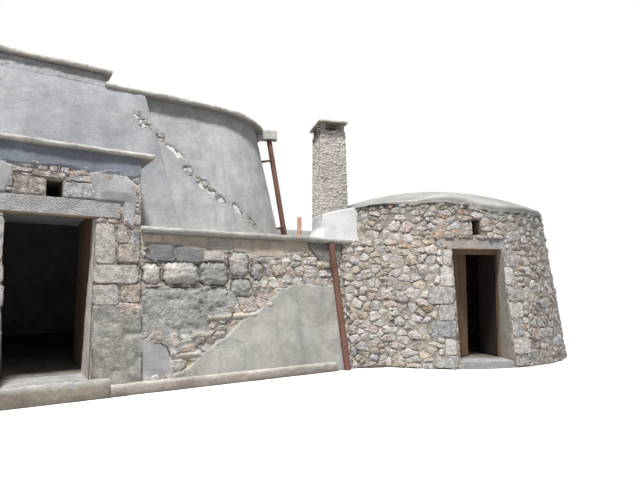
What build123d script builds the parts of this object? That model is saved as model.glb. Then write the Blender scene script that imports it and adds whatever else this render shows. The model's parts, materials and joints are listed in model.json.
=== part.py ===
"""Trullo house: a tall battered house with a small doorway porch, a terrace block beside it
with a chimney, and a round dry-stone hut with a double-leaf door.

Millimetres. +X runs to the right along the front, +Y goes into the house and +Z is up.
The origin lies on the ground under the middle of the main doorway, in the porch's front plane.
"""

import os
from math import atan, cos, degrees, radians, sin, sqrt

from build123d import *

os.makedirs("parts", exist_ok=True)

# Tall house: a rounded rectangle in plan whose outer faces lean inwards
house_half_width = 4550
house_front = 750
house_depth = 6500
house_corner = 2250
house_height = 4020
house_batter = 0.22

# Shallow bay that carries the raised parapet over the doorway
bay_proud = 110
bay_half_width = 2150
parapet_half_width = 720
parapet_rise = 200
parapet_thickness = 400

# Barrel-vaulted room inside the house
room_half_width = 2300
room_front_wall = 800
room_rear_wall = 900
vault_spring = 2060
vault_rise = 1390
floor_level = 200

# Coping slabs
coping_thickness = 80
house_coping_overhang = 160
house_coping_width = 480
parapet_coping_overhang = 80
porch_coping_overhang = 95
porch_coping_side = 150
porch_coping_thickness = 65
roof_rise = 130
roof_crown_inset = 750

# Porch block and main doorway
porch_half_width = 960
porch_height = 2775
front_batter = 0.15
jamb_depth = 500
doorway_half_bottom = 400
doorway_half_top = 455
doorway_head = 1990
passage_half_width = 520
lintel_half_length = 640
lintel_height = 205
vent_width = 170
vent_height = 200
vent_offset = 20
threshold_projection = 60
threshold_half_length = 600

# Main door, one leaf that stands open at a right angle
leaf_thickness = 40
leaf_clearance = 6
leaf_side_gap = 40
leaf_floor_gap = 12
leaf_head_gap = 15
hinge_setback = 11
hinge_side_gap = 20
pin_radius = 8
pin_clearance = 0.5
eye_wall = 5
eye_height = 40
pintle_arm_height = 14
pintle_rise = 6
strap_thickness = 6
strap_reach = 300
batten_thickness = 16
batten_height = 110
batten_margin = 60
hinge_inset = 330
main_leaf_open = 90

# Terrace block between the house and the round hut
terrace_height = 1840
terrace_rear = 2450
terrace_coping_overhang = 90
terrace_coping_width = 450
screed_thickness = 60
footing_projection = 80
footing_height = 130
footing_end = 3620
kerb_thickness = 180
kerb_height = 390

# Rainwater pipes
pipe_radius = 48
pipe_bore = 44
pipe_standoff = 18
terrace_pipe_x = 3720
terrace_pipe_lean = 90
clip_width = 40
clip_thickness = 4
clip_reach = 260
clip_places = (0.18, 0.8)
house_pipe_azimuth = -25
house_pipe_head_gap = 256
house_pipe_foot_gap = 138
spout_overhang = 404
spout_seat = 266
spout_shoulder_gap = 20
spout_width = 190
spout_drop = 70
spout_rise = 90
spout_channel = 80
vent_pipe_radius = 38
vent_pipe_height = 520
vent_pipe_place = (4035, 1640)

# Chimney, placed from the nearest point of the hut's upper edge
chimney_from_hut = (-232, -28)
chimney_turn = -20
chimney_width = 410
chimney_foot_width = 470
chimney_depth = 600
chimney_wall = 90
chimney_top = 3780
chimney_post = 90
chimney_post_height = 135
chimney_cap_thickness = 45
chimney_cap_overhang = 55

# Haunch round the chimney's foot: height, spread at the front and back, spread at the left
haunch_profile = ((1840, 150, 300), (1980, 115, 120), (2140, 75, 30), (2520, 12, 12))
haunch_reach = 520
haunch_crown = 2378
haunch_crown_slope = 0.257

# Round hut
hut_centre = (6550, 1050)
hut_door_azimuth = 24
hut_base_radius = 2400
hut_top_radius = 2080
hut_wall_height = 2430
hut_room_radius = 1700
hut_spring = 1200
hut_dome_top = 2960
hut_cap_edge = 70
hut_cap_chamfer = 23
hut_reach = 3000
hut_floor_level = 100
corbel_height = 125
corbel_apex = 2850
corbel_courses = 12

# Round hut doorway and its two leaves
hut_door_half_bottom = 420
hut_door_half_top = 410
hut_door_head = 1770
hut_lintel_height = 155
hut_lintel_half_length = 485
hut_lintel_split = 60
hut_jamb_depth = 225
hut_passage_half_width = 470
frame_width = 80
frame_thickness = 60
meeting_gap = 12
hut_left_leaf_open = 20
hut_right_leaf_open = 84
hut_vent_width = 140
hut_vent_height = 240
hut_vent_offset = 0
hut_vent_sill = 1980

# Reach of cutting tools, longer than anything they cut
far = 12000

# Derived sizes
house_taper = degrees(atan(house_batter))
house_rear = house_front + house_depth
room_front = house_front + room_front_wall
room_rear = house_rear - room_rear_wall
room_middle = (room_front + room_rear) / 2
coping_top = house_height + coping_thickness
corner_x = house_half_width - house_corner
corner_y = house_front + house_corner
top_inset = house_batter * house_height
terrace_lean = front_batter * terrace_height
terrace_level = terrace_height + screed_thickness
coping_rear = terrace_lean - terrace_coping_overhang + terrace_coping_width
hut_slope = (hut_base_radius - hut_top_radius) / hut_wall_height
hut_door_plane = hut_base_radius - hut_slope * hut_door_head - hut_jamb_depth
corner_top_radius = house_corner - top_inset
corner_terrace_radius = house_corner - house_batter * terrace_level
house_pipe_top_radius = corner_top_radius + house_pipe_head_gap
house_pipe_foot_radius = corner_terrace_radius + house_pipe_foot_gap
spout_reach = corner_top_radius + spout_overhang
spout_tail_radius = corner_top_radius - spout_seat
spout_shoulder = corner_top_radius + house_batter * spout_drop + spout_shoulder_gap
chimney_centre = (
    hut_centre[0] - hut_top_radius + chimney_from_hut[0],
    hut_centre[1] + chimney_from_hut[1],
)
hut_door_frame = Plane(
    origin=(hut_centre[0], hut_centre[1], 0),
    x_dir=(cos(radians(-hut_door_azimuth)), sin(radians(-hut_door_azimuth)), 0),
    z_dir=(0, 0, 1),
)
hut_front = hut_reach
hut_front_plane = Plane(
    origin=hut_door_frame.from_local_coords((0, -hut_front, 0)),
    x_dir=hut_door_frame.x_dir,
    z_dir=-hut_door_frame.y_dir,
)
chimney_frame = Plane(
    origin=(chimney_centre[0], chimney_centre[1], 0),
    x_dir=(cos(radians(chimney_turn)), sin(radians(chimney_turn)), 0),
    z_dir=(0, 0, 1),
)


def save(part, name):
    """Labels a finished piece and writes it as its own STEP file."""
    part.label = name
    export_step(part, f"parts/{name}.step")


def slab(x_range, y_range, z_range, mode=Mode.ADD):
    """An upright block between three pairs of coordinates, in the active part."""
    with Locations((x_range[0], y_range[0], z_range[0])):
        Box(
            x_range[1] - x_range[0],
            y_range[1] - y_range[0],
            z_range[1] - z_range[0],
            align=(Align.MIN, Align.MIN, Align.MIN),
            mode=mode,
        )


# Whole tall house before it is divided, with the bay on its front
with BuildPart() as house_mass:
    with BuildSketch():
        with Locations((0, house_front + house_depth / 2)):
            RectangleRounded(2 * house_half_width, house_depth, house_corner)
    extrude(amount=house_height, taper=house_taper)
    with BuildSketch():
        with Locations((0, house_front - bay_proud)):
            Rectangle(2 * bay_half_width, house_corner, align=(Align.CENTER, Align.MIN))
    extrude(amount=house_height, taper=house_taper)

# Space between the two end walls of the room, which lean inwards like the outer faces
with BuildPart() as room_envelope:
    with BuildSketch(Plane.YZ.offset(-room_half_width)):
        with BuildLine():
            Polyline(
                (room_front, 0),
                (room_front + top_inset, house_height),
                (room_rear - top_inset, house_height),
                (room_rear, 0),
                close=True,
            )
        make_face()
    extrude(amount=2 * room_half_width)

with BuildPart() as room:
    with BuildSketch(Plane.XZ.offset(-far)):
        with BuildLine():
            Polyline(
                (-room_half_width, vault_spring),
                (-room_half_width, 0),
                (room_half_width, 0),
                (room_half_width, vault_spring),
            )
            ThreePointArc(
                (room_half_width, vault_spring),
                (0, vault_spring + vault_rise),
                (-room_half_width, vault_spring),
            )
        make_face()
    extrude(amount=far)
    add(room_envelope.part, mode=Mode.INTERSECT)

# Doorway, passage and vent, cut through the porch and the house's front wall alike
with BuildPart() as doorway_void:
    with BuildSketch(Plane.XZ.offset(far / 4)):
        with BuildLine():
            Polyline(
                (-doorway_half_bottom, 0),
                (doorway_half_bottom, 0),
                (doorway_half_top, doorway_head),
                (-doorway_half_top, doorway_head),
                close=True,
            )
        make_face()
    extrude(amount=-(far / 4 + jamb_depth))
    slab(
        (-passage_half_width, passage_half_width),
        (jamb_depth, room_middle),
        (0, vault_spring),
    )
    vent_floor = doorway_head + lintel_height
    slab(
        (vent_offset - vent_width / 2, vent_offset + vent_width / 2),
        (-far / 4, room_middle),
        (vent_floor, vent_floor + vent_height),
    )

with BuildPart() as house_walls:
    add(house_mass.part)
    add(room.part, mode=Mode.SUBTRACT)
    add(doorway_void.part, mode=Mode.SUBTRACT)


def house_piece(name, x_range, y_range, z_range, envelope=None):
    """One stretch of the house's masonry, cut out of the whole and saved."""
    with BuildPart() as piece:
        add(house_walls.part)
        slab(x_range, y_range, z_range, mode=Mode.INTERSECT)
        if envelope is not None:
            add(room_envelope.part, mode=envelope)
    save(piece.part, name)


full_depth = (-far, far)
lower = (0, vault_spring)
upper = (vault_spring, house_height)
room_width = (-room_half_width, room_half_width)
house_piece("house_left_flank", (-far, -room_half_width), full_depth, (0, house_height))
house_piece("house_right_flank", (room_half_width, far), full_depth, (0, house_height))
house_piece("house_front_left_pier", (-room_half_width, 0), (-far, room_middle), lower)
house_piece("house_front_right_pier", (0, room_half_width), (-far, room_middle), lower)
house_piece("house_front_gable", room_width, (-far, room_middle), upper, Mode.SUBTRACT)
house_piece(
    "house_rear_wall", room_width, (room_middle, far), (0, house_height), Mode.SUBTRACT
)
house_piece("house_vault", room_width, full_depth, upper, Mode.INTERSECT)

# Floor of the room and passage, and the sill stone at the doorway
with BuildPart() as house_floor:
    slab((-room_half_width, room_half_width), (room_front, room_rear), (0, floor_level))
    add(room.part, mode=Mode.INTERSECT)
    slab(
        (-passage_half_width, passage_half_width),
        (jamb_depth, room_front + room_front_wall),
        (0, floor_level),
    )
save(house_floor.part, "house_floor")

with BuildPart() as threshold:
    add(doorway_void.part)
    slab((-far, far), (0, jamb_depth), (0, floor_level), mode=Mode.INTERSECT)
    slab(
        (-threshold_half_length, threshold_half_length),
        (-threshold_projection, 0),
        (0, floor_level),
    )
save(threshold.part, "threshold")

# Porch
with BuildPart() as porch_mass:
    with BuildSketch(Plane.YZ.offset(-porch_half_width)):
        with BuildLine():
            Polyline(
                (0, 0),
                (front_batter * porch_height, porch_height),
                (room_front, porch_height),
                (room_front, 0),
                close=True,
            )
        make_face()
    extrude(amount=2 * porch_half_width)
    add(house_mass.part, mode=Mode.SUBTRACT)

with BuildPart() as lintel_void:
    slab(
        (-lintel_half_length, lintel_half_length),
        (-far / 4, jamb_depth),
        (doorway_head, doorway_head + lintel_height),
    )

with BuildPart() as porch_left_pier:
    add(porch_mass.part)
    add(doorway_void.part, mode=Mode.SUBTRACT)
    slab((-far, 0), (-far, far), (0, doorway_head), mode=Mode.INTERSECT)
save(porch_left_pier.part, "porch_left_pier")

with BuildPart() as porch_right_pier:
    add(porch_mass.part)
    add(doorway_void.part, mode=Mode.SUBTRACT)
    slab((0, far), (-far, far), (0, doorway_head), mode=Mode.INTERSECT)
save(porch_right_pier.part, "porch_right_pier")

with BuildPart() as porch_lintel:
    add(porch_mass.part)
    add(lintel_void.part, mode=Mode.INTERSECT)
save(porch_lintel.part, "porch_lintel")

with BuildPart() as porch_upper_wall:
    add(porch_mass.part)
    slab((-far, far), (-far, far), (doorway_head, porch_height), mode=Mode.INTERSECT)
    add(doorway_void.part, mode=Mode.SUBTRACT)
    add(lintel_void.part, mode=Mode.SUBTRACT)
save(porch_upper_wall.part, "porch_upper_wall")

with BuildPart() as porch_coping:
    slab(
        (
            -porch_half_width - porch_coping_side,
            porch_half_width + porch_coping_side,
        ),
        (front_batter * porch_height - porch_coping_overhang, room_front),
        (porch_height, porch_height + porch_coping_thickness),
    )
    add(house_mass.part, mode=Mode.SUBTRACT)
save(porch_coping.part, "porch_coping")


def top_outline(offset_by):
    """Adds the house's outline at the top of its walls, grown or shrunk, to the active sketch."""
    with Locations((0, house_front + house_depth / 2)):
        RectangleRounded(
            2 * (house_half_width - top_inset + offset_by),
            house_depth - 2 * top_inset + 2 * offset_by,
            house_corner - top_inset + offset_by,
        )


# Roof spout at the house's right front corner, placed by its bearing from the corner's centre
spout_frame = Plane(
    origin=(corner_x, corner_y, house_height),
    x_dir=(cos(radians(house_pipe_azimuth)), sin(radians(house_pipe_azimuth)), 0),
    z_dir=(0, 0, 1),
)
with BuildPart() as roof_spout:
    with BuildSketch(spout_frame):
        with Locations((spout_tail_radius, 0)):
            Rectangle(
                spout_reach - spout_tail_radius, spout_width, align=(Align.MIN, Align.CENTER)
            )
    extrude(amount=spout_rise)
    with BuildSketch(spout_frame):
        with Locations((spout_shoulder, 0)):
            Rectangle(
                spout_reach - spout_shoulder, spout_width, align=(Align.MIN, Align.CENTER)
            )
    extrude(amount=-spout_drop)
    with BuildSketch(spout_frame.offset(spout_rise)):
        with Locations((spout_tail_radius, 0)):
            Rectangle(
                house_pipe_top_radius + pipe_bore - spout_tail_radius,
                spout_channel,
                align=(Align.MIN, Align.CENTER),
            )
    extrude(amount=-spout_rise / 2, mode=Mode.SUBTRACT)
    with BuildSketch(spout_frame.offset(spout_rise)):
        with Locations((house_pipe_top_radius, 0)):
            Circle(spout_channel / 2)
    extrude(amount=-far / 10, mode=Mode.SUBTRACT)
save(roof_spout.part, "roof_spout")

# Coping ring on the house, broken at the front by the raised parapet
with BuildPart() as house_coping:
    with BuildSketch(Plane.XY.offset(house_height)):
        top_outline(house_coping_overhang)
    extrude(amount=coping_thickness)
    with BuildSketch(Plane.XY.offset(house_height)):
        top_outline(house_coping_overhang - house_coping_width)
    extrude(amount=coping_thickness, mode=Mode.SUBTRACT)
    slab(
        (-parapet_half_width, parapet_half_width),
        (-far, room_middle),
        (0, far),
        mode=Mode.SUBTRACT,
    )
    with BuildSketch(spout_frame):
        with Locations((spout_tail_radius, 0)):
            Rectangle(
                spout_reach - spout_tail_radius, spout_width, align=(Align.MIN, Align.CENTER)
            )
    extrude(amount=spout_rise, mode=Mode.SUBTRACT)


for side, x_range in (("left", (-far, 0)), ("right", (0, far))):
    with BuildPart() as coping_half:
        add(house_coping.part)
        slab(x_range, full_depth, (0, far), mode=Mode.INTERSECT)
    save(coping_half.part, f"house_coping_{side}")

# Raised parapet over the doorway bay, and its own coping
bay_top_y = house_front - bay_proud + top_inset
with BuildPart() as parapet:
    with BuildSketch(Plane.YZ.offset(-parapet_half_width)):
        with BuildLine():
            Polyline(
                (bay_top_y, house_height),
                (bay_top_y + house_batter * parapet_rise, house_height + parapet_rise),
                (bay_top_y + parapet_thickness, house_height + parapet_rise),
                (bay_top_y + parapet_thickness, house_height),
                close=True,
            )
        make_face()
    extrude(amount=2 * parapet_half_width)
save(parapet.part, "parapet")

with BuildPart() as parapet_coping:
    slab(
        (
            -parapet_half_width - parapet_coping_overhang,
            parapet_half_width + parapet_coping_overhang,
        ),
        (
            bay_top_y + house_batter * parapet_rise - parapet_coping_overhang,
            bay_top_y + parapet_thickness + parapet_coping_overhang,
        ),
        (house_height + parapet_rise, house_height + parapet_rise + coping_thickness),
    )
save(parapet_coping.part, "parapet_coping")

# Low crowned roof inside the coping
with BuildPart() as house_roof:
    with BuildSketch(Plane.XY.offset(house_height)):
        top_outline(house_coping_overhang - house_coping_width)
    with BuildSketch(Plane.XY.offset(house_height + roof_rise)):
        top_outline(house_coping_overhang - house_coping_width - roof_crown_inset)
    loft(ruled=True)
    add(parapet.part, mode=Mode.SUBTRACT)
    add(roof_spout.part, mode=Mode.SUBTRACT)
save(house_roof.part, "house_roof")

# Outer form of the round hut, which the pieces around it are fitted to
with BuildPart() as hut_mass:
    with Locations((hut_centre[0], hut_centre[1], 0)):
        Cone(
            hut_base_radius,
            hut_top_radius,
            hut_wall_height,
            align=(Align.CENTER, Align.CENTER, Align.MIN),
        )

# Terrace block: one mass of masonry between the porch, the house and the hut
with BuildPart() as terrace_block:
    with BuildSketch(Plane.YZ.offset(porch_half_width)):
        with BuildLine():
            Polyline(
                (0, 0),
                (terrace_lean, terrace_height),
                (coping_rear, terrace_height),
                (coping_rear, terrace_level),
                (terrace_rear, terrace_level),
                (terrace_rear, 0),
                close=True,
            )
        make_face()
    extrude(amount=hut_centre[0] - porch_half_width)
    add(house_mass.part, mode=Mode.SUBTRACT)
    add(hut_mass.part, mode=Mode.SUBTRACT)
save(terrace_block.part, "terrace_block")

with BuildPart() as terrace_footing:
    slab((threshold_half_length, footing_end), (-footing_projection, 0), (0, footing_height))
save(terrace_footing.part, "terrace_footing")

with BuildPart() as terrace_coping:
    slab(
        (porch_half_width, hut_centre[0]),
        (terrace_lean - terrace_coping_overhang, coping_rear),
        (terrace_height, terrace_height + coping_thickness),
    )
    add(porch_mass.part, mode=Mode.SUBTRACT)
    add(house_mass.part, mode=Mode.SUBTRACT)
    add(hut_mass.part, mode=Mode.SUBTRACT)
save(terrace_coping.part, "terrace_coping")

with BuildPart() as terrace_kerb:
    slab(
        (house_half_width / 2, hut_centre[0]),
        (terrace_rear - kerb_thickness, terrace_rear),
        (terrace_level, terrace_level + kerb_height),
    )
    add(house_mass.part, mode=Mode.SUBTRACT)
    add(hut_mass.part, mode=Mode.SUBTRACT)
save(terrace_kerb.part, "terrace_kerb")


def pipe_between(foot, head, towards_wall, keep_clear):
    """A rainwater pipe with level ends and two clips that reach back to the wall."""
    rise = [head[i] - foot[i] for i in range(3)]
    length = sqrt(sum(step * step for step in rise))
    back = Plane(origin=foot, x_dir=towards_wall, z_dir=rise)
    with BuildPart() as pipe:
        with BuildSketch(back.offset(-pipe_radius)):
            Circle(pipe_radius)
        extrude(amount=length + 2 * pipe_radius)
        for share in clip_places:
            with BuildSketch(back.offset(share * length)):
                Circle(pipe_radius + clip_thickness)
                Rectangle(clip_reach, clip_width / 2, align=(Align.MIN, Align.CENTER))
            extrude(amount=clip_width)
        add(keep_clear, mode=Mode.SUBTRACT)
        with BuildSketch(back.offset(-pipe_radius)):
            Circle(pipe_bore)
        extrude(amount=length + 2 * pipe_radius, mode=Mode.SUBTRACT)
        slab((-far, far), (-far, far), (foot[2], head[2]), mode=Mode.INTERSECT)
    return pipe.part


# Rainwater pipe down the terrace's front, leaning a little to the right at its foot
pipe_gap = pipe_radius + pipe_standoff
terrace_pipe = pipe_between(
    (terrace_pipe_x + terrace_pipe_lean, -pipe_gap, 0),
    (terrace_pipe_x, terrace_lean - pipe_gap, terrace_height),
    (0, 1, 0),
    terrace_block.part,
)
save(terrace_pipe, "terrace_downpipe")

# Rainwater pipe from the roof spout down to the terrace
spout_x = cos(radians(house_pipe_azimuth))
spout_y = sin(radians(house_pipe_azimuth))
house_pipe = pipe_between(
    (
        corner_x + house_pipe_foot_radius * spout_x,
        corner_y + house_pipe_foot_radius * spout_y,
        terrace_level,
    ),
    (
        corner_x + house_pipe_top_radius * spout_x,
        corner_y + house_pipe_top_radius * spout_y,
        house_height - spout_drop,
    ),
    (-spout_x, -spout_y, 0),
    house_mass.part,
)
save(house_pipe, "house_downpipe")

with BuildPart() as terrace_vent_pipe:
    with BuildSketch(Plane.XY.offset(terrace_level)):
        with Locations(vent_pipe_place):
            Circle(vent_pipe_radius)
            Circle(vent_pipe_radius - clip_thickness, mode=Mode.SUBTRACT)
    extrude(amount=vent_pipe_height)
save(terrace_vent_pipe.part, "terrace_vent_pipe")

# Inside of the round hut: an upright drum, then corbel courses that close in to a slab
def corbel_radius(height):
    """Radius of the corbelled dome's inner face at a height above the spring."""
    share = (height - hut_spring) / (corbel_apex - hut_spring)
    return hut_room_radius * sqrt(1 - share * share)


closing_level = hut_spring + corbel_courses * corbel_height
with BuildPart() as hut_room:
    with BuildSketch(hut_door_frame):
        Circle(hut_room_radius)
    extrude(amount=hut_spring)
    for course in range(corbel_courses):
        course_floor = hut_spring + course * corbel_height
        with BuildSketch(hut_door_frame.offset(course_floor)):
            Circle(corbel_radius(course_floor + corbel_height / 2))
        extrude(amount=corbel_height)

# Doorway and vent of the hut
with BuildPart() as hut_doorway_void:
    with BuildSketch(hut_front_plane):
        with BuildLine():
            Polyline(
                (-hut_door_half_bottom, 0),
                (hut_door_half_bottom, 0),
                (hut_door_half_top, hut_door_head),
                (-hut_door_half_top, hut_door_head),
                close=True,
            )
        make_face()
    extrude(amount=-(hut_front - hut_door_plane - frame_thickness))
    with BuildSketch(hut_front_plane.offset(hut_door_plane + frame_thickness - hut_front)):
        Rectangle(2 * hut_passage_half_width, hut_door_head, align=(Align.CENTER, Align.MIN))
    extrude(amount=-(hut_door_plane + frame_thickness - hut_room_radius / 2))
    with BuildSketch(hut_front_plane):
        with Locations((hut_vent_offset, hut_vent_sill)):
            Rectangle(hut_vent_width, hut_vent_height, align=(Align.CENTER, Align.MIN))
    extrude(amount=-hut_front)

with BuildPart() as hut_lintel_void:
    with BuildSketch(hut_front_plane):
        with Locations((0, hut_door_head)):
            Rectangle(
                2 * hut_lintel_half_length,
                hut_lintel_height,
                align=(Align.CENTER, Align.MIN),
            )
    extrude(amount=-(hut_front - hut_door_plane))


def polar(radius, bearing):
    """A point at a radius and a bearing in degrees."""
    return (radius * cos(radians(bearing)), radius * sin(radians(bearing)))


def hut_piece(name, start, span, z_range):
    """A stretch of the hut's wall between two bearings from the doorway and two heights."""
    with BuildPart() as piece:
        add(hut_mass.part)
        with BuildSketch(hut_door_frame.offset(z_range[0])):
            with BuildLine():
                Polyline(
                    (0, 0),
                    polar(hut_reach, start),
                    polar(2 * hut_reach, start + span / 2),
                    polar(hut_reach, start + span),
                    close=True,
                )
            make_face()
        extrude(amount=z_range[1] - z_range[0], mode=Mode.INTERSECT)
        for opening in (hut_room, hut_doorway_void, hut_lintel_void):
            add(opening.part, mode=Mode.SUBTRACT)
    save(piece.part, name)


door_bearing = -90
quarter = 90
third = 120
wall_names = (
    "hut_wall_right_of_door",
    "hut_wall_rear_right",
    "hut_wall_rear_left",
    "hut_wall_left_of_door",
)
for number, name in enumerate(wall_names):
    hut_piece(name, door_bearing + number * quarter, quarter, (0, hut_door_head))

upper_ring = (hut_door_head, hut_wall_height)
ring_names = ("hut_wall_over_door", "hut_dome_right", "hut_dome_left")
for number, name in enumerate(ring_names):
    hut_piece(name, door_bearing - third / 2 + number * third, third, upper_ring)

with BuildPart() as hut_lintel_left:
    add(hut_mass.part)
    add(hut_lintel_void.part, mode=Mode.INTERSECT)
    with BuildSketch(hut_door_frame):
        with Locations((hut_lintel_split, 0)):
            Rectangle(hut_reach, 2 * hut_reach, align=(Align.MIN, Align.CENTER))
    extrude(amount=hut_wall_height, mode=Mode.SUBTRACT)
save(hut_lintel_left.part, "hut_lintel_left")

with BuildPart() as hut_lintel_right:
    add(hut_mass.part)
    add(hut_lintel_void.part, mode=Mode.INTERSECT)
    with BuildSketch(hut_door_frame):
        with Locations((hut_lintel_split, 0)):
            Rectangle(hut_reach, 2 * hut_reach, align=(Align.MAX, Align.CENTER))
    extrude(amount=hut_wall_height, mode=Mode.SUBTRACT)
save(hut_lintel_right.part, "hut_lintel_right")

# Plastered cap over the dome, stepped inside like the courses below it
inner_steps = [(0, closing_level)]
for course in reversed(range(corbel_courses)):
    course_floor = hut_spring + course * corbel_height
    course_radius = corbel_radius(course_floor + corbel_height / 2)
    inner_steps.append((course_radius, course_floor + corbel_height))
    inner_steps.append((course_radius, max(course_floor, hut_wall_height)))
    if course_floor <= hut_wall_height:
        break
cap_profile_plane = Plane(
    origin=hut_door_frame.origin,
    x_dir=hut_door_frame.x_dir,
    z_dir=-hut_door_frame.y_dir,
)
with BuildPart() as hut_cap:
    with BuildSketch(cap_profile_plane):
        with BuildLine():
            Polyline(
                (0, hut_dome_top),
                *inner_steps,
                (hut_top_radius, hut_wall_height),
                (hut_top_radius - hut_cap_chamfer, hut_wall_height + hut_cap_edge),
            )
            TangentArc(
                (0, hut_dome_top),
                (hut_top_radius - hut_cap_chamfer, hut_wall_height + hut_cap_edge),
                tangent=(1, 0),
            )
        make_face()
    revolve(axis=Axis(hut_door_frame.origin, (0, 0, 1)))
save(hut_cap.part, "hut_cap")

# Chimney on the terrace, hard against the hut, with its right side leaning outwards to the foot
with BuildPart() as chimney_mass:
    for level, width in ((terrace_level, chimney_foot_width), (chimney_top, chimney_width)):
        with BuildSketch(chimney_frame.offset(level)):
            with Locations((-chimney_width / 2, 0)):
                Rectangle(width, chimney_depth, align=(Align.MIN, Align.CENTER))
    loft(ruled=True)

with BuildPart() as chimney_shaft:
    add(chimney_mass.part)
    add(hut_mass.part, mode=Mode.SUBTRACT)
    add(hut_cap.part, mode=Mode.SUBTRACT)
    with BuildSketch(chimney_frame.offset(terrace_level)):
        Rectangle(chimney_width - 2 * chimney_wall, chimney_depth - 2 * chimney_wall)
    extrude(amount=chimney_top, mode=Mode.SUBTRACT)
save(chimney_shaft.part, "chimney_shaft")

post_x = (chimney_width - chimney_post) / 2
post_y = (chimney_depth - chimney_post) / 2
with BuildPart() as chimney_posts:
    with BuildSketch(chimney_frame.offset(chimney_top)):
        with GridLocations(2 * post_x, post_y, 2, 3):
            Rectangle(chimney_post, chimney_post)
    extrude(amount=chimney_post_height)
save(chimney_posts.part, "chimney_posts")

with BuildPart() as chimney_cap:
    with BuildSketch(chimney_frame.offset(chimney_top + chimney_post_height)):
        Rectangle(
            chimney_width + 2 * chimney_cap_overhang,
            chimney_depth + 2 * chimney_cap_overhang,
        )
    extrude(amount=chimney_cap_thickness)
save(chimney_cap.part, "chimney_cap")

# Plaster haunch that flares out round the chimney's foot and climbs to the hut's edge
chimney_front_plane = Plane(
    origin=chimney_frame.origin,
    x_dir=chimney_frame.x_dir,
    z_dir=-chimney_frame.y_dir,
)
haunch_left_crown = haunch_crown - haunch_crown_slope * (far - chimney_width) / 2
haunch_right_crown = haunch_crown + haunch_crown_slope * (far + chimney_width) / 2
with BuildPart() as chimney_haunch:
    for height, depth_spread, left_spread in haunch_profile:
        with BuildSketch(chimney_frame.offset(height)):
            with Locations((-chimney_width / 2 - left_spread, 0)):
                Rectangle(
                    chimney_width / 2 + left_spread + haunch_reach,
                    chimney_depth + 2 * depth_spread,
                    align=(Align.MIN, Align.CENTER),
                )
    loft(ruled=True)
    with BuildSketch(chimney_front_plane):
        with BuildLine():
            Polyline(
                (-far / 2, haunch_left_crown),
                (far / 2, haunch_right_crown),
                (far / 2, far),
                (-far / 2, far),
                close=True,
            )
        make_face()
    extrude(amount=far / 2, both=True, mode=Mode.SUBTRACT)
    for neighbour in (
        hut_mass,
        hut_cap,
        house_mass,
        terrace_coping,
        terrace_block,
        chimney_mass,
    ):
        add(neighbour.part, mode=Mode.SUBTRACT)
save(chimney_haunch.part, "chimney_haunch")

# Floor, sill and frame of the hut
with BuildPart() as hut_floor:
    with BuildSketch(hut_door_frame):
        Circle(hut_room_radius)
    extrude(amount=hut_floor_level)
    with BuildSketch(hut_door_frame):
        with Locations((0, -hut_door_plane - frame_thickness)):
            Rectangle(
                2 * hut_passage_half_width,
                hut_door_plane,
                align=(Align.CENTER, Align.MIN),
            )
    extrude(amount=hut_floor_level)
save(hut_floor.part, "hut_floor")

with BuildPart() as hut_threshold:
    add(hut_mass.part)
    add(hut_doorway_void.part, mode=Mode.INTERSECT)
    with BuildSketch(hut_door_frame):
        with Locations((0, -hut_door_plane - frame_thickness)):
            Rectangle(hut_reach, hut_reach, align=(Align.CENTER, Align.MAX))
    extrude(amount=hut_floor_level, mode=Mode.INTERSECT)
save(hut_threshold.part, "hut_threshold")

hut_frame_plane = hut_front_plane.offset(hut_door_plane + frame_thickness - hut_front)
with BuildPart() as hut_door_surround:
    with BuildSketch(hut_frame_plane):
        with Locations((0, hut_floor_level)):
            Rectangle(
                2 * hut_passage_half_width,
                hut_door_head - hut_floor_level,
                align=(Align.CENTER, Align.MIN),
            )
            Rectangle(
                2 * (hut_passage_half_width - frame_width),
                hut_door_head - hut_floor_level - frame_width,
                align=(Align.CENTER, Align.MIN),
                mode=Mode.SUBTRACT,
            )
    extrude(amount=-frame_thickness)
save(hut_door_surround.part, "hut_door_frame")


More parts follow.
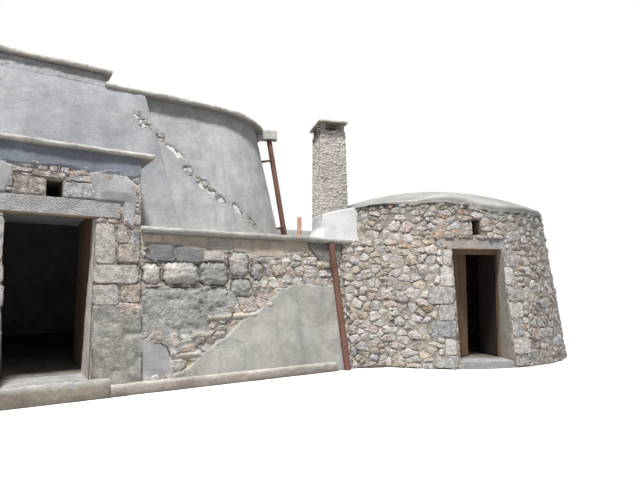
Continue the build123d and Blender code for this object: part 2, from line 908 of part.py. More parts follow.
def hung_leaf(opening, shut_plane, hand, edges, levels, angle):
    """A plank leaf with battens and strap hinges, and the pintles it turns on.

    opening is a plane on the ground in the doorway, with its y axis pointing inwards.
    shut_plane is where the leaf's outer face rests. hand is 1 with the hinge on the right
    and -1 on the left. edges are the wall's face beside the hinge and the leaf's free edge,
    both measured towards the hinge, and levels are the floor and the head. angle is how far
    the leaf stands open, in degrees.
    """
    wall_face, free_edge = edges
    pin_at = wall_face - hinge_side_gap
    hinge_edge = wall_face - leaf_side_gap
    inner_face = shut_plane + leaf_clearance + leaf_thickness
    pin_back = inner_face + hinge_setback
    foot = levels[0] + leaf_floor_gap
    head = levels[1] - leaf_head_gap
    hinge_levels = (foot + hinge_inset, head - hinge_inset)
    batten_levels = (foot + batten_margin, head - batten_margin - batten_height)
    eye_radius = pin_radius + pin_clearance + eye_wall
    with BuildPart() as leaf:
        with BuildSketch(opening.offset(foot)):
            with Locations((hand * (hinge_edge + free_edge) / 2, inner_face)):
                Rectangle(
                    hinge_edge - free_edge, leaf_thickness, align=(Align.CENTER, Align.MAX)
                )
        extrude(amount=head - foot)
        for level in batten_levels:
            with BuildSketch(opening.offset(level)):
                with Locations((hand * (hinge_edge + free_edge) / 2, inner_face)):
                    Rectangle(
                        hinge_edge - free_edge - 2 * batten_margin,
                        batten_thickness,
                        align=(Align.CENTER, Align.MIN),
                    )
            extrude(amount=batten_height)
        for level in hinge_levels:
            with BuildSketch(opening.offset(level)):
                with Locations((hand * (pin_at - strap_reach / 2), inner_face)):
                    Rectangle(strap_reach, strap_thickness, align=(Align.CENTER, Align.MIN))
                with Locations((hand * pin_at, pin_back)):
                    Circle(eye_radius)
                    Circle(pin_radius + pin_clearance, mode=Mode.SUBTRACT)
            extrude(amount=eye_height)
    with BuildPart() as pintles:
        for level in hinge_levels:
            arm_floor = level - pintle_arm_height - pin_clearance
            with BuildSketch(opening.offset(arm_floor)):
                with Locations((hand * pin_at, pin_back)):
                    Circle(eye_radius)
                with Locations((hand * (pin_at + wall_face) / 2, pin_back)):
                    Rectangle(wall_face - pin_at, 2 * eye_radius)
            extrude(amount=pintle_arm_height)
            with BuildSketch(opening.offset(arm_floor)):
                with Locations((hand * pin_at, pin_back)):
                    Circle(pin_radius)
            extrude(amount=pintle_arm_height + eye_height + pintle_rise)
    hinge_axis = Axis(
        opening.from_local_coords((hand * pin_at, pin_back, 0)), (0, 0, 1)
    )
    return leaf.part.rotate(hinge_axis, -hand * angle), pintles.part


leaf_solid, pintle_solid = hung_leaf(
    Plane.XY,
    jamb_depth,
    1,
    (passage_half_width, -(passage_half_width - leaf_side_gap)),
    (floor_level, vault_spring),
    main_leaf_open,
)
save(leaf_solid, "main_door_leaf")
save(pintle_solid, "main_door_pintles")

leaf_settings = ((-1, "left", hut_left_leaf_open), (1, "right", hut_right_leaf_open))
pintle_solids = []
for hand, side, angle in leaf_settings:
    leaf_solid, pintle_solid = hung_leaf(
        hut_door_frame,
        -hut_door_plane,
        hand,
        (hut_passage_half_width, meeting_gap / 2),
        (hut_floor_level, hut_door_head),
        angle,
    )
    save(leaf_solid, f"hut_door_{side}_leaf")
    pintle_solids.append(pintle_solid)

with BuildPart() as hut_door_pintles:
    for pintle_solid in pintle_solids:
        add(pintle_solid)
save(hut_door_pintles.part, "hut_door_pintles")
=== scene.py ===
"""Looks of the trullo house: stones, lime render, copings, boards, ironwork, light and camera."""

import json
import math

import bpy
import numpy as np
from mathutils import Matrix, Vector


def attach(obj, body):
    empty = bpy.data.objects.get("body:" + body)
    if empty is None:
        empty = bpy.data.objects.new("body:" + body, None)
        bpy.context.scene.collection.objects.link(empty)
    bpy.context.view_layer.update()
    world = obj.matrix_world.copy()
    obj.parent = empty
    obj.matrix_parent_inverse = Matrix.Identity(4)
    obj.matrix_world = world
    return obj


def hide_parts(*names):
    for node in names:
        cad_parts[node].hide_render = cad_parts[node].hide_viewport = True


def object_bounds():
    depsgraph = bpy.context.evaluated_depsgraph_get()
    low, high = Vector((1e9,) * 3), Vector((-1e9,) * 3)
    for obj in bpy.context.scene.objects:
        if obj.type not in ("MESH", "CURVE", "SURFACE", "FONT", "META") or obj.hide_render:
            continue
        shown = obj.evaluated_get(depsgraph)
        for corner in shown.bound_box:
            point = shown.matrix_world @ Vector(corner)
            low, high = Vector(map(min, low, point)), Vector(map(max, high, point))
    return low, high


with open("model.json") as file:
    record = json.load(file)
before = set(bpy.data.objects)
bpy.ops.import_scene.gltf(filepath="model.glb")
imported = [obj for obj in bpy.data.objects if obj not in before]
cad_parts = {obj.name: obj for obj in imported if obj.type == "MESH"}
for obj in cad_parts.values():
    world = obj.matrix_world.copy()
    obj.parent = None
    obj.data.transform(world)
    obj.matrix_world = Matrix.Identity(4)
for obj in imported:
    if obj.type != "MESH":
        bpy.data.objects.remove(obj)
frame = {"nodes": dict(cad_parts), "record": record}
cad_low, cad_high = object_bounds()

# Sizes in metres, most of them the frame's own
HOUSE_FRONT = 0.75
HOUSE_CORNER = 2.25
HOUSE_CENTRES = ((2.3, 3.0), (2.3, 5.0), (-2.3, 5.0), (-2.3, 3.0))
HOUSE_BATTER = 0.22
HOUSE_TOP = 4.02
BAY_FRONT = 0.64
BAY_HALF = 2.15
PARAPET_HALF = 0.72
PARAPET_TOP = 4.22
PARAPET_THICK = 0.4
FRONT_BATTER = 0.15
PORCH_HALF = 0.96
PORCH_TOP = 2.775
PORCH_COPING = 0.065
DOORWAY_HALVES = (0.40, 0.455)
DOORWAY_HEAD = 1.99
LINTEL_HALF = 0.72
LINTEL_HEAD = 2.195
LINTEL_BACK = 0.5
TERRACE_TOP = 1.84
TERRACE_FLOOR = 1.90
TERRACE_REAR = 2.45
COPING = 0.08
KERB_SPAN = (3.70, 4.98)
KERB_THICK = 0.18
KERB_HIGH = 0.39
CORNER_START = 3.93
CORNER_TURN = math.radians(-20.5)
CORNER_LEAN = 0.1405
CORNER_EDGE = 0.0525
COPING_END = 4.16
HUT_CENTRE = (6.55, 1.05)
HUT_TURN = math.radians(-24)
HUT_FOOT = 2.40
HUT_HEAD = 2.08
HUT_WALL = 2.43
HUT_SHOULDER = HUT_WALL + 0.047
HUT_RIM = 2.057
HUT_RIM_LEVEL = 2.50
HUT_DOME_TOP = 2.96
BROW_TURN = math.radians(-38)
HUT_ROUND = 2.25
HUT_DOOR_HEAD = 1.77
HUT_JAMB = 0.225
HUT_DOOR_PLANE = HUT_FOOT - (HUT_FOOT - HUT_HEAD) / HUT_WALL * HUT_DOOR_HEAD - HUT_JAMB
CHIMNEY_CENTRE = (4.238, 1.022)
CHIMNEY_TURN = math.radians(-20)
CHIMNEY_HALF = (0.205, 0.30)
CHIMNEY_TOP = 3.78
CHIMNEY_SPREAD = 0.06
CHIMNEY_POST_HIGH = 0.135
CHIMNEY_CAP_THICK = 0.045

# A distance beyond any on the building, and the thickness below which a coat is worn through
FAR = 1e9
WORN = -0.0005


class Tint:
    """One output socket, wrapped so that shader maths reads as plain expressions."""

    def __init__(self, finish, socket):
        self.finish = finish
        self.socket = socket

    def maths(self, operation, *terms):
        return self.finish.node(
            "ShaderNodeMath", {"operation": operation}, dict(enumerate(terms))
        )

    def __add__(self, other):
        return self.maths("ADD", self, other)

    def __radd__(self, other):
        return self.maths("ADD", other, self)

    def __sub__(self, other):
        return self.maths("SUBTRACT", self, other)

    def __rsub__(self, other):
        return self.maths("SUBTRACT", other, self)

    def __mul__(self, other):
        return self.maths("MULTIPLY", self, other)

    def __rmul__(self, other):
        return self.maths("MULTIPLY", other, self)

    def lowest(self, other):
        return self.maths("MINIMUM", self, other)


class Finish:
    """The nodes of a procedural material, or of the world, under construction."""

    def __init__(self, name, world=None):
        self.material = world or bpy.data.materials.new(name)
        self.material.use_nodes = True
        self.tree = self.material.node_tree
        self.tree.nodes.clear()

    def node(self, kind, settings=None, inputs=None, output=0):
        """Adds a node, sets it up, feeds its sockets and gives one of its outputs."""
        made = self.tree.nodes.new(kind)
        for key, value in (settings or {}).items():
            if key == "stops":
                ramp = made.color_ramp
                while len(ramp.elements) < len(value):
                    ramp.elements.new(1.0)
                for element, (place, shade) in zip(ramp.elements, value):
                    element.position = place
                    element.color = (*shade, 1.0) if len(shade) == 3 else shade
            else:
                setattr(made, key, value)
        for key, value in (inputs or {}).items():
            if isinstance(value, Tint):
                self.tree.links.new(value.socket, made.inputs[key])
            elif isinstance(value, tuple) and len(value) == 3 and made.inputs[key].type == "RGBA":
                made.inputs[key].default_value = (*value, 1.0)
            else:
                made.inputs[key].default_value = value
        return Tint(self, made.outputs[output]) if made.outputs else None

    def place(self):
        return self.node("ShaderNodeTexCoord", output="Object")

    def stretched(self, by):
        """The object's own coordinates with each axis scaled."""
        return self.node(
            "ShaderNodeMapping", {"vector_type": "POINT"}, {"Vector": self.place(), "Scale": by}
        )

    def noise(self, scale, detail=4.0, rough=0.55, at=None, warp=0.0):
        return self.node(
            "ShaderNodeTexNoise",
            {"noise_dimensions": "3D"},
            {
                "Vector": at or self.place(),
                "Scale": scale,
                "Detail": detail,
                "Roughness": rough,
                "Distortion": warp,
            },
        )

    def cells(self, scale, feature="F1", at=None):
        """Distance from the middle of each cell, or from its edge."""
        settings = {"feature": feature}
        inputs = {"Vector": at or self.place(), "Scale": scale}
        return self.node("ShaderNodeTexVoronoi", settings, inputs, "Distance")

    def span(self, value, low, high, start=0.0, stop=1.0):
        """Eases a value from start to stop as it goes from low to high."""
        return self.node(
            "ShaderNodeMapRange",
            {"interpolation_type": "SMOOTHSTEP", "clamp": True},
            {0: value, 1: low, 2: high, 3: start, 4: stop},
        )

    def blend(self, share, first, second, how="MIX"):
        """A colour between two others."""
        return self.node(
            "ShaderNodeMix",
            {"data_type": "RGBA", "blend_type": how, "clamp_factor": True},
            {0: share, 6: first, 7: second},
            2,
        )

    def ramp(self, value, stops):
        return self.node("ShaderNodeValToRGB", {"stops": stops}, {0: value})

    def mark(self, name, output="Color"):
        """A value that the mesh carries on its vertices."""
        return self.node("ShaderNodeAttribute", {"attribute_name": name}, output=output)

    def grey(self, value):
        """A number as a grey colour."""
        return self.node(
            "ShaderNodeCombineColor", {"mode": "RGB"}, {"Red": value, "Green": value, "Blue": value}
        )

    def wander(self, scale, reach):
        """The object's own coordinates, pushed about so that straight cells bend."""
        drift = self.node(
            "ShaderNodeTexNoise", {}, {"Vector": self.place(), "Scale": scale, "Detail": 3.0}, "Color"
        )
        pushed = self.node("ShaderNodeVectorMath", {"operation": "SCALE"}, {0: drift, "Scale": reach})
        return self.node("ShaderNodeVectorMath", {"operation": "ADD"}, {0: self.place(), 1: pushed})

    def upright(self, vector):
        """The upright part of a vector."""
        return self.node("ShaderNodeSeparateXYZ", {}, {0: vector}, "Z")

    def facing_up(self):
        """From -1 where the surface faces down to 1 where it faces up."""
        return self.upright(self.node("ShaderNodeNewGeometry", output="Normal"))

    def bump(self, *layers):
        """Stacks (height, depth in metres) layers into one normal."""
        normal = None
        for height, depth in layers:
            inputs = {"Height": height, "Distance": depth, "Strength": 1.0}
            if normal:
                inputs["Normal"] = normal
            normal = self.node("ShaderNodeBump", {}, inputs)
        return normal

    def surface(self, colour, roughness, normal):
        """Ends the material with its shader and gives the material."""
        inputs = {"Base Color": colour, "Roughness": roughness, "Normal": normal}
        shader = self.node("ShaderNodeBsdfPrincipled", {}, inputs)
        self.node("ShaderNodeOutputMaterial", {}, {"Surface": shader})
        return self.material


def make_rubble_stone():
    """Faces of the rubble stones: each carries its own colour, pitted, crusted and lichened, with painted
    shade round its foot.
    """
    f = Finish("rubble_stone")
    own = f.mark("stone")
    rim_shade = f.mark("stone", "Alpha")
    faces = f.noise(13.0, 6.0, 0.68)
    grain = f.noise(60.0, 5.0, 0.75)
    pits = f.cells(62.0)
    shade = f.span(faces, 0.33, 0.68, 0.64, 1.30) * f.span(grain, 0.30, 0.72, 0.72, 1.20)
    body = f.blend(1.0, own, f.grey(shade), "MULTIPLY")
    crust = f.span(f.noise(19.0, 6.0, 0.72), 0.47, 0.60)
    body = f.blend(crust * 0.62, body, (0.60, 0.570, 0.545))
    lichen = f.span(f.noise(30.0, 6.0, 0.75), 0.55, 0.65) * f.span(f.noise(1.6, 4.0), 0.42, 0.60)
    body = f.blend(lichen * 0.70, body, (0.13, 0.125, 0.125))
    earth = f.span(f.noise(4.2, 5.0, 0.7), 0.55, 0.68)
    body = f.blend(earth * 0.28, body, (0.46, 0.33, 0.24))
    # Painted shade: each stone darkens towards its foot, where it meets the joint
    body = f.blend(f.span(rim_shade, 0.0, 0.45, 0.30, 0.0), body, (0.21, 0.175, 0.15))
    body = f.blend(f.span(pits, 0.0, 0.26, 0.60, 0.0), body, (0.13, 0.115, 0.105))
    normal = f.bump((faces, 0.034), (grain, 0.009), (pits, 0.005))
    return f.surface(body, f.span(grain, 0.3, 0.7, 0.82, 0.96), normal)


def make_mortar():
    """Lime and earth mortar between the stones, gritty and in shade."""
    f = Finish("mortar")
    cloud = f.noise(8.0, 5.0, 0.68)
    grit = f.noise(70.0, 5.0, 0.75)
    chips = f.cells(30.0)
    earths = [(0.36, (0.09, 0.075, 0.062)), (0.48, (0.25, 0.210, 0.178)), (0.62, (0.43, 0.385, 0.340))]
    colour = f.ramp(cloud, earths)
    colour = f.blend(f.span(chips, 0.05, 0.28, 0.6, 0.0), colour, (0.46, 0.42, 0.38))
    colour = f.blend(f.span(grit, 0.50, 0.70) * 0.7, colour, (0.060, 0.050, 0.042))
    normal = f.bump((chips, 0.012), (cloud, 0.012), (grit, 0.005))
    return f.surface(colour, 0.95, normal)


def make_lime_render():
    """Lime coats on the walls: the mesh says how light and how coarse each place is."""
    f = Finish("lime_render")
    own = f.mark("coat")
    coarse = f.mark("coat", "Alpha")
    wide = f.noise(0.8, 6.0, 0.62)
    cloud = f.noise(3.4, 7.0, 0.66)
    fine = f.noise(38.0, 6.0, 0.75)
    streaks = f.noise(1.0, 6.0, 0.62, at=f.stretched((6.0, 6.0, 0.45)))
    shade = (
        f.span(wide, 0.34, 0.66, 0.84, 1.12)
        * f.span(cloud, 0.34, 0.66, 0.84, 1.14)
        * f.span(fine, 0.30, 0.72, 0.90, 1.08)
    )
    colour = f.blend(1.0, own, f.grey(shade), "MULTIPLY")
    colour = f.blend(f.span(streaks, 0.53, 0.70) * 0.42, colour, (0.205, 0.215, 0.235))
    damp = f.span(f.noise(1.7, 7.0, 0.72), 0.56, 0.70)
    colour = f.blend(damp * 0.28, colour, (0.30, 0.27, 0.23))
    flecks = f.span(f.noise(85.0, 4.0, 0.7), 0.62, 0.72)
    colour = f.blend(flecks * 0.40, colour, (0.16, 0.155, 0.15))
    gravel = f.noise(33.0, 7.0, 0.74, warp=0.6)
    swells = f.noise(5.5, 6.0, 0.66, warp=0.4)
    hollows = f.span(gravel, 0.50, 0.36) * coarse
    colour = f.blend(hollows * 0.50, colour, (0.13, 0.125, 0.12))
    crests = f.span(gravel, 0.52, 0.64) * coarse
    colour = f.blend(crests * 0.35, colour, (0.60, 0.59, 0.57))
    craze = f.cells(1.9, "DISTANCE_TO_EDGE", at=f.wander(5.0, 0.12))
    crack = f.span(craze, 0.0, 0.007, 1.0, 0.0) * f.span(f.noise(1.1, 2.0), 0.50, 0.58)
    colour = f.blend(crack * 0.55, colour, (0.10, 0.10, 0.10))
    normal = f.bump((cloud, 0.016), (fine, 0.004), (swells * coarse, 0.060), (gravel * coarse, 0.016))
    return f.surface(colour, f.span(cloud, 0.3, 0.7, 0.84, 0.96), normal)


def make_white_plaster():
    """Fresh limewash, brushed on thick."""
    f = Finish("white_plaster")
    cloud = f.noise(4.0, 5.0, 0.6)
    brush = f.noise(14.0, 5.0, 0.65, at=f.stretched((1.0, 1.0, 3.5)))
    colour = f.blend(f.span(cloud, 0.35, 0.68), (0.46, 0.465, 0.47), (0.55, 0.555, 0.56))
    colour = f.blend(f.span(brush, 0.55, 0.75) * 0.25, colour, (0.41, 0.405, 0.395))
    colour = f.blend(f.span(f.noise(2.6, 6.0, 0.7), 0.60, 0.72) * 0.30, colour, (0.40, 0.385, 0.36))
    return f.surface(colour, 0.88, f.bump((cloud, 0.012), (brush, 0.003)))


def make_old_plaster():
    """Rain-washed plaster on tops that face the sky, grey with lichen."""
    f = Finish("old_plaster")
    cloud = f.noise(3.0, 7.0, 0.7)
    grain = f.noise(42.0, 6.0, 0.75)
    colour = f.blend(f.span(cloud, 0.36, 0.64), (0.33, 0.32, 0.31), (0.52, 0.50, 0.48))
    colour = f.blend(f.span(grain, 0.48, 0.68) * 0.5, colour, (0.22, 0.205, 0.19))
    colour = f.blend(f.span(f.noise(9.0, 6.0, 0.75), 0.58, 0.68) * 0.5, colour, (0.16, 0.155, 0.14))
    return f.surface(colour, 0.94, f.bump((cloud, 0.020), (grain, 0.005)))


def make_dressed_stone(name, dark, light):
    """Limestone worked with a point: pale, dented all over, tan where it faces down."""
    f = Finish(name)
    dents = f.cells(60.0)
    cloud = f.noise(6.0, 6.0, 0.66)
    grain = f.noise(65.0, 5.0, 0.75)
    facing = f.facing_up()
    colour = f.blend(f.span(cloud, 0.35, 0.66), dark, light)
    colour = f.blend(f.span(dents, 0.10, 0.42, 0.0, 0.60), colour, (0.17, 0.17, 0.175))
    colour = f.blend(f.span(grain, 0.50, 0.72) * 0.45, colour, (0.24, 0.225, 0.21))
    colour = f.blend(f.span(facing, -0.8, -0.3, 0.85, 0.0), colour, (0.44, 0.32, 0.21))
    return f.surface(colour, 0.92, f.bump((1.0 - dents, 0.009), (cloud, 0.016), (grain, 0.006)))


def make_coping_stone():
    """Thin limestone slabs, limewashed on top and bare tan beneath."""
    f = Finish("coping_stone")
    cloud = f.noise(7.0, 6.0, 0.68)
    grain = f.noise(55.0, 5.0, 0.75)
    facing = f.facing_up()
    limes = [(0.34, (0.27, 0.245, 0.20)), (0.50, (0.45, 0.43, 0.385)), (0.66, (0.60, 0.585, 0.56))]
    colour = f.ramp(cloud, limes)
    colour = f.blend(f.span(facing, 0.15, 0.7) * 0.5, colour, (0.56, 0.55, 0.53))
    colour = f.blend(f.span(facing, -0.75, -0.15, 0.9, 0.0), colour, (0.33, 0.27, 0.20))
    colour = f.blend(f.span(f.noise(17.0, 6.0, 0.72), 0.56, 0.68) * 0.6, colour, (0.145, 0.135, 0.115))
    colour = f.blend(f.span(grain, 0.48, 0.70) * 0.4, colour, (0.17, 0.155, 0.135))
    return f.surface(colour, 0.92, f.bump((cloud, 0.018), (grain, 0.005)))


def make_boards(name, own=None):
    """Weathered brown boards with long grain, paler towards the foot, where rain bleaches them and sunlight
    is painted on.
    """
    f = Finish(name)
    grain = f.noise(3.0, 8.0, 0.65, at=f.stretched((34.0, 34.0, 1.2)), warp=0.4)
    fibres = f.noise(8.0, 5.0, 0.7, at=f.stretched((60.0, 60.0, 1.5)))
    colour = f.blend(f.span(grain, 0.35, 0.65), (0.060, 0.036, 0.022), (0.185, 0.112, 0.068))
    colour = f.blend(f.span(fibres, 0.55, 0.75) * 0.30, colour, (0.22, 0.155, 0.105))
    colour = f.blend(f.span(f.noise(2.5, 4.0), 0.55, 0.75) * 0.4, colour, (0.085, 0.068, 0.052))
    height = f.upright(f.place())
    # Paler towards the foot: bleaching by rain, and painted sunlight
    colour = f.blend(f.span(height, 0.15, 0.75, 0.45, 0.0), colour, (0.24, 0.15, 0.088))
    if own:
        colour = f.blend(1.0, colour, f.mark(own), "MULTIPLY")
    normal = f.bump((grain, 0.004), (fibres, 0.0015))
    return f.surface(colour, f.span(grain, 0.3, 0.7, 0.62, 0.86), normal)


def make_iron():
    """Hand-forged iron, hammered, dark and rusting."""
    f = Finish("forged_iron")
    hammer = f.cells(45.0)
    rust = f.span(f.noise(22.0, 6.0, 0.7), 0.45, 0.62)
    colour = f.blend(rust, (0.035, 0.032, 0.030), (0.16, 0.065, 0.030))
    normal = f.bump((hammer, 0.0012), (f.noise(120.0, 3.0), 0.0005))
    return f.surface(colour, f.span(rust, 0.0, 1.0, 0.5, 0.9), normal)


def make_pipe_paint():
    """Faded red-brown paint on rainwater pipes, chalky with rust breaking through."""
    f = Finish("pipe_paint")
    fade = f.noise(4.0, 5.0, 0.6, at=f.stretched((1.0, 1.0, 0.4)))
    fleck = f.noise(48.0, 6.0, 0.7)
    colour = f.blend(f.span(fade, 0.35, 0.68), (0.085, 0.034, 0.024), (0.165, 0.078, 0.056))
    colour = f.blend(f.span(fleck, 0.58, 0.68) * 0.7, colour, (0.24, 0.13, 0.08))
    colour = f.blend(f.span(f.noise(9.0, 4.0), 0.62, 0.72) * 0.5, colour, (0.27, 0.24, 0.21))
    normal = f.bump((fleck, 0.0008), (fade, 0.002))
    return f.surface(colour, f.span(fade, 0.3, 0.7, 0.5, 0.8), normal)


def make_clay():
    """Fired clay with limewash splashes."""
    f = Finish("clay_pipe")
    cloud = f.noise(14.0, 5.0, 0.6)
    colour = f.blend(f.span(cloud, 0.35, 0.65), (0.42, 0.22, 0.15), (0.58, 0.38, 0.30))
    colour = f.blend(f.span(f.noise(30.0, 4.0), 0.58, 0.68) * 0.7, colour, (0.62, 0.57, 0.52))
    return f.surface(colour, 0.85, f.bump((cloud, 0.002)))


def make_floor_stone():
    """Worn stone floor, dusty, with broad slabs, its tones kept dark as painted shade of the room."""
    f = Finish("floor_stone")
    slabs = f.cells(1.7, "DISTANCE_TO_EDGE")
    dust = f.noise(3.0, 6.0, 0.65)
    grain = f.noise(50.0, 4.0, 0.7)
    # Painted shade: both tones are darkened as the shade inside the doorway
    colour = f.blend(f.span(dust, 0.35, 0.68), (0.105, 0.09, 0.075), (0.17, 0.155, 0.135))
    colour = f.blend(f.span(slabs, 0.0, 0.02, 0.8, 0.0), colour, (0.08, 0.07, 0.06))
    colour = f.blend(f.span(grain, 0.5, 0.8) * 0.4, colour, (0.15, 0.13, 0.11))
    normal = f.bump((f.span(slabs, 0.0, 0.03), 0.006), (dust, 0.006), (grain, 0.001))
    return f.surface(colour, f.span(dust, 0.3, 0.7, 0.7, 0.92), normal)


rubble_stone = make_rubble_stone()
mortar = make_mortar()
lime_render = make_lime_render()
white_plaster = make_white_plaster()
old_plaster = make_old_plaster()
dressed_stone = make_dressed_stone("dressed_stone", (0.34, 0.33, 0.33), (0.56, 0.55, 0.54))
warm_stone = make_dressed_stone("warm_stone", (0.40, 0.32, 0.27), (0.58, 0.49, 0.43))
coping_stone = make_coping_stone()
old_boards = make_boards("old_boards", "stone")
plain_boards = make_boards("plain_boards")
forged_iron = make_iron()
pipe_paint = make_pipe_paint()
clay_pipe = make_clay()
floor_stone = make_floor_stone()


# Cells along each side of the lattices, after which the random fields repeat
RIPPLE_CELLS = 128
LUMP_CELLS = 24
COBBLE_CELLS = 64


def ripple(across, up, size, seed):
    """A smooth random field between -1 and 1 with features of the given size."""
    lattice = np.random.default_rng(seed).uniform(-1.0, 1.0, (RIPPLE_CELLS, RIPPLE_CELLS))
    a, b = np.asarray(across) / size, np.asarray(up) / size
    i, j = np.floor(a).astype(int), np.floor(b).astype(int)
    u, v = a - i, b - j
    u, v = u * u * (3 - 2 * u), v * v * (3 - 2 * v)
    i, j, right, above = (number % RIPPLE_CELLS for number in (i, j, i + 1, j + 1))
    low = lattice[i, j] * (1 - u) + lattice[right, j] * u
    high = lattice[i, above] * (1 - u) + lattice[right, above] * u
    return low * (1 - v) + high * v


def weathered(across, up, size, seed):
    """Ripples at three sizes, for a weathered face."""
    return (
        ripple(across, up, size, seed) * 0.55
        + ripple(across, up, size / 2.3, seed + 1) * 0.3
        + ripple(across, up, size / 5.1, seed + 2) * 0.15
    )


def lumps(points, size, seed):
    """A smooth random field between -1 and 1 through space."""
    lattice = np.random.default_rng(seed).uniform(-1.0, 1.0, (LUMP_CELLS, LUMP_CELLS, LUMP_CELLS))
    scaled = np.asarray(points) / size
    cell = np.floor(scaled).astype(int)
    part = scaled - cell
    part = part * part * (3 - 2 * part)
    total = 0.0
    for corner in np.ndindex(2, 2, 2):
        share = np.prod(np.where(np.array(corner) == 1, part, 1 - part), axis=-1)
        at = (cell + np.array(corner)) % LUMP_CELLS
        total = total + share * lattice[at[..., 0], at[..., 1], at[..., 2]]
    return total


def ease(value, low, high):
    """0 below low, 1 above high, smooth between."""
    t = np.clip((np.asarray(value, float) - low) / (high - low), 0.0, 1.0)
    return t * t * (3 - 2 * t)


def in_scene(name, data):
    """A new object in the scene."""
    made = bpy.data.objects.new(name, data)
    bpy.context.scene.collection.objects.link(made)
    return made


def piece(
    name, points, faces, material, body="house", marks=None, layer="stone", smooth=True, closes=()
):
    """One mesh of the object, kept inside the CAD box, with its finish and its body."""
    points = np.clip(np.asarray(points, float), cad_low, cad_high)
    mesh = bpy.data.meshes.new(name)
    mesh.from_pydata(points.tolist(), [], faces)
    if marks is not None:
        colours = mesh.attributes.new(layer, "FLOAT_COLOR", "POINT")
        colours.data.foreach_set("color", np.asarray(marks, np.float32).ravel())
    mesh.materials.append(material)
    mesh.polygons.foreach_set("use_smooth", [smooth] * len(mesh.polygons))
    mesh.update()
    made = in_scene(name, mesh)
    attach(made, body)
    if closes:
        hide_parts(*closes)
    return made


# Faces of the walls: each maps (across, up, out) to a point, with across to the right as seen


def stack(*columns):
    """Joins coordinates, single or in grids, into points."""
    return np.stack(np.broadcast_arrays(*columns), -1)


def turned_about(centre, turn):
    """Moves places on a turned part of the building into the frame's own axes."""
    c, s = math.cos(turn), math.sin(turn)
    return lambda x, y, z: stack(centre[0] + x * c - y * s, centre[1] + x * s + y * c, z)


house_point = turned_about((0.0, 0.0), 0.0)
hut_point = turned_about(HUT_CENTRE, HUT_TURN)
chimney_point = turned_about(CHIMNEY_CENTRE, CHIMNEY_TURN)


def slope_face(across, up, out):
    """The battered front of the porch and the terrace."""
    lean = math.hypot(1.0, FRONT_BATTER)
    return stack(across, FRONT_BATTER * up - out / lean, up + out * FRONT_BATTER / lean)


def hut_radius(up):
    """The hut's outer radius at a level, up to the rim of its cap."""
    levels = (0.0, HUT_WALL, HUT_SHOULDER, HUT_RIM_LEVEL)
    return np.interp(up, levels, (HUT_FOOT, HUT_HEAD, HUT_HEAD, HUT_RIM))


def hut_face(across, up, out):
    """The round wall of the hut, with across measured from the middle of its doorway."""
    turn = across / HUT_ROUND + HUT_TURN
    radius = hut_radius(up) + out
    return stack(HUT_CENTRE[0] + radius * np.sin(turn), HUT_CENTRE[1] - radius * np.cos(turn), up)


def house_table():
    """Places round the house: distance along it, centre that the wall turns about, bearing."""
    quarter = HOUSE_CORNER * math.pi / 2
    rows = [(0.0, 0.0, HOUSE_CENTRES[0][1], -90.0)]
    at = HOUSE_CENTRES[0][0]
    bearing = -90.0
    for number, centre in enumerate(HOUSE_CENTRES):
        rows.append((at, *centre, bearing))
        at += quarter
        bearing += 90.0
        rows.append((at, *centre, bearing))
        if number < 3:
            after = HOUSE_CENTRES[number + 1]
            at += math.dist(centre, after)
    rows.append((at + HOUSE_CENTRES[0][0], 0.0, HOUSE_CENTRES[3][1], bearing))
    return np.array(rows).T


HOUSE_ROUND = house_table()
HOUSE_LENGTH = HOUSE_ROUND[0, -1]


def house_face(across, up, out):
    """The house's leaning wall all the way round, from the middle of its front."""
    across = np.asarray(across, float) % HOUSE_LENGTH
    x, y, bearing = (np.interp(across, HOUSE_ROUND[0], row) for row in HOUSE_ROUND[1:])
    radius = HOUSE_CORNER - HOUSE_BATTER * np.asarray(up) + out
    bearing = np.radians(bearing)
    return stack(x + radius * np.cos(bearing), y + radius * np.sin(bearing), up)


def bay_face(across, up, out):
    """The shallow bay on the house's front, with its narrow returns."""
    half = BAY_HALF - HOUSE_BATTER * np.asarray(up)
    past = np.clip(np.abs(across) - half, 0.0, None)
    turned = ease(past, 0.0, 0.02)
    return stack(
        np.clip(across, -half, half) + np.sign(across) * out * turned,
        BAY_FRONT + HOUSE_BATTER * np.asarray(up) + past - out * (1 - turned),
        up,
    )


def flat_face(origin, bearing, lean):
    """A flat wall that starts at origin and runs level in the direction of a bearing."""
    run = np.array([math.cos(bearing), math.sin(bearing)])
    outward = np.array([run[1], -run[0]])

    def place(across, up, out):
        out = np.asarray(out, float) - lean * np.asarray(up)
        return stack(
            origin[0] + across * run[0] + out * outward[0],
            origin[1] + across * run[1] + out * outward[1],
            up,
        )

    return place


corner_face = flat_face((CORNER_START, 0.0), CORNER_TURN, CORNER_LEAN)

# Laying out stones

SMALLEST_STONE = 0.0006
NEIGHBOURS = 20


def clip(outline, normal, limit):
    """The part of a convex outline that lies on the low side of a line."""
    kept = []
    for here, there in zip(outline, outline[1:] + outline[:1]):
        a = normal[0] * here[0] + normal[1] * here[1] - limit
        b = normal[0] * there[0] + normal[1] * there[1] - limit
        if a <= 0:
            kept.append(here)
        if a * b < 0:
            t = a / (a - b)
            kept.append((here[0] + t * (there[0] - here[0]), here[1] + t * (there[1] - here[1])))
    return kept


def area(outline):
    """Area of an outline, 0 where nothing is left of it."""
    if len(outline) < 3:
        return 0.0
    p = np.asarray(outline)
    q = np.roll(p, -1, 0)
    return abs(float((p[:, 0] * q[:, 1] - q[:, 0] * p[:, 1]).sum())) / 2


def sides(outline):
    """Outward normal and limit of each side of a convex outline that runs anticlockwise."""
    for here, there in zip(outline, outline[1:] + outline[:1]):
        run = (there[0] - here[0], there[1] - here[1])
        size = math.hypot(*run) or 1.0
        normal = (run[1] / size, -run[0] / size)
        yield normal, normal[0] * here[0] + normal[1] * here[1]


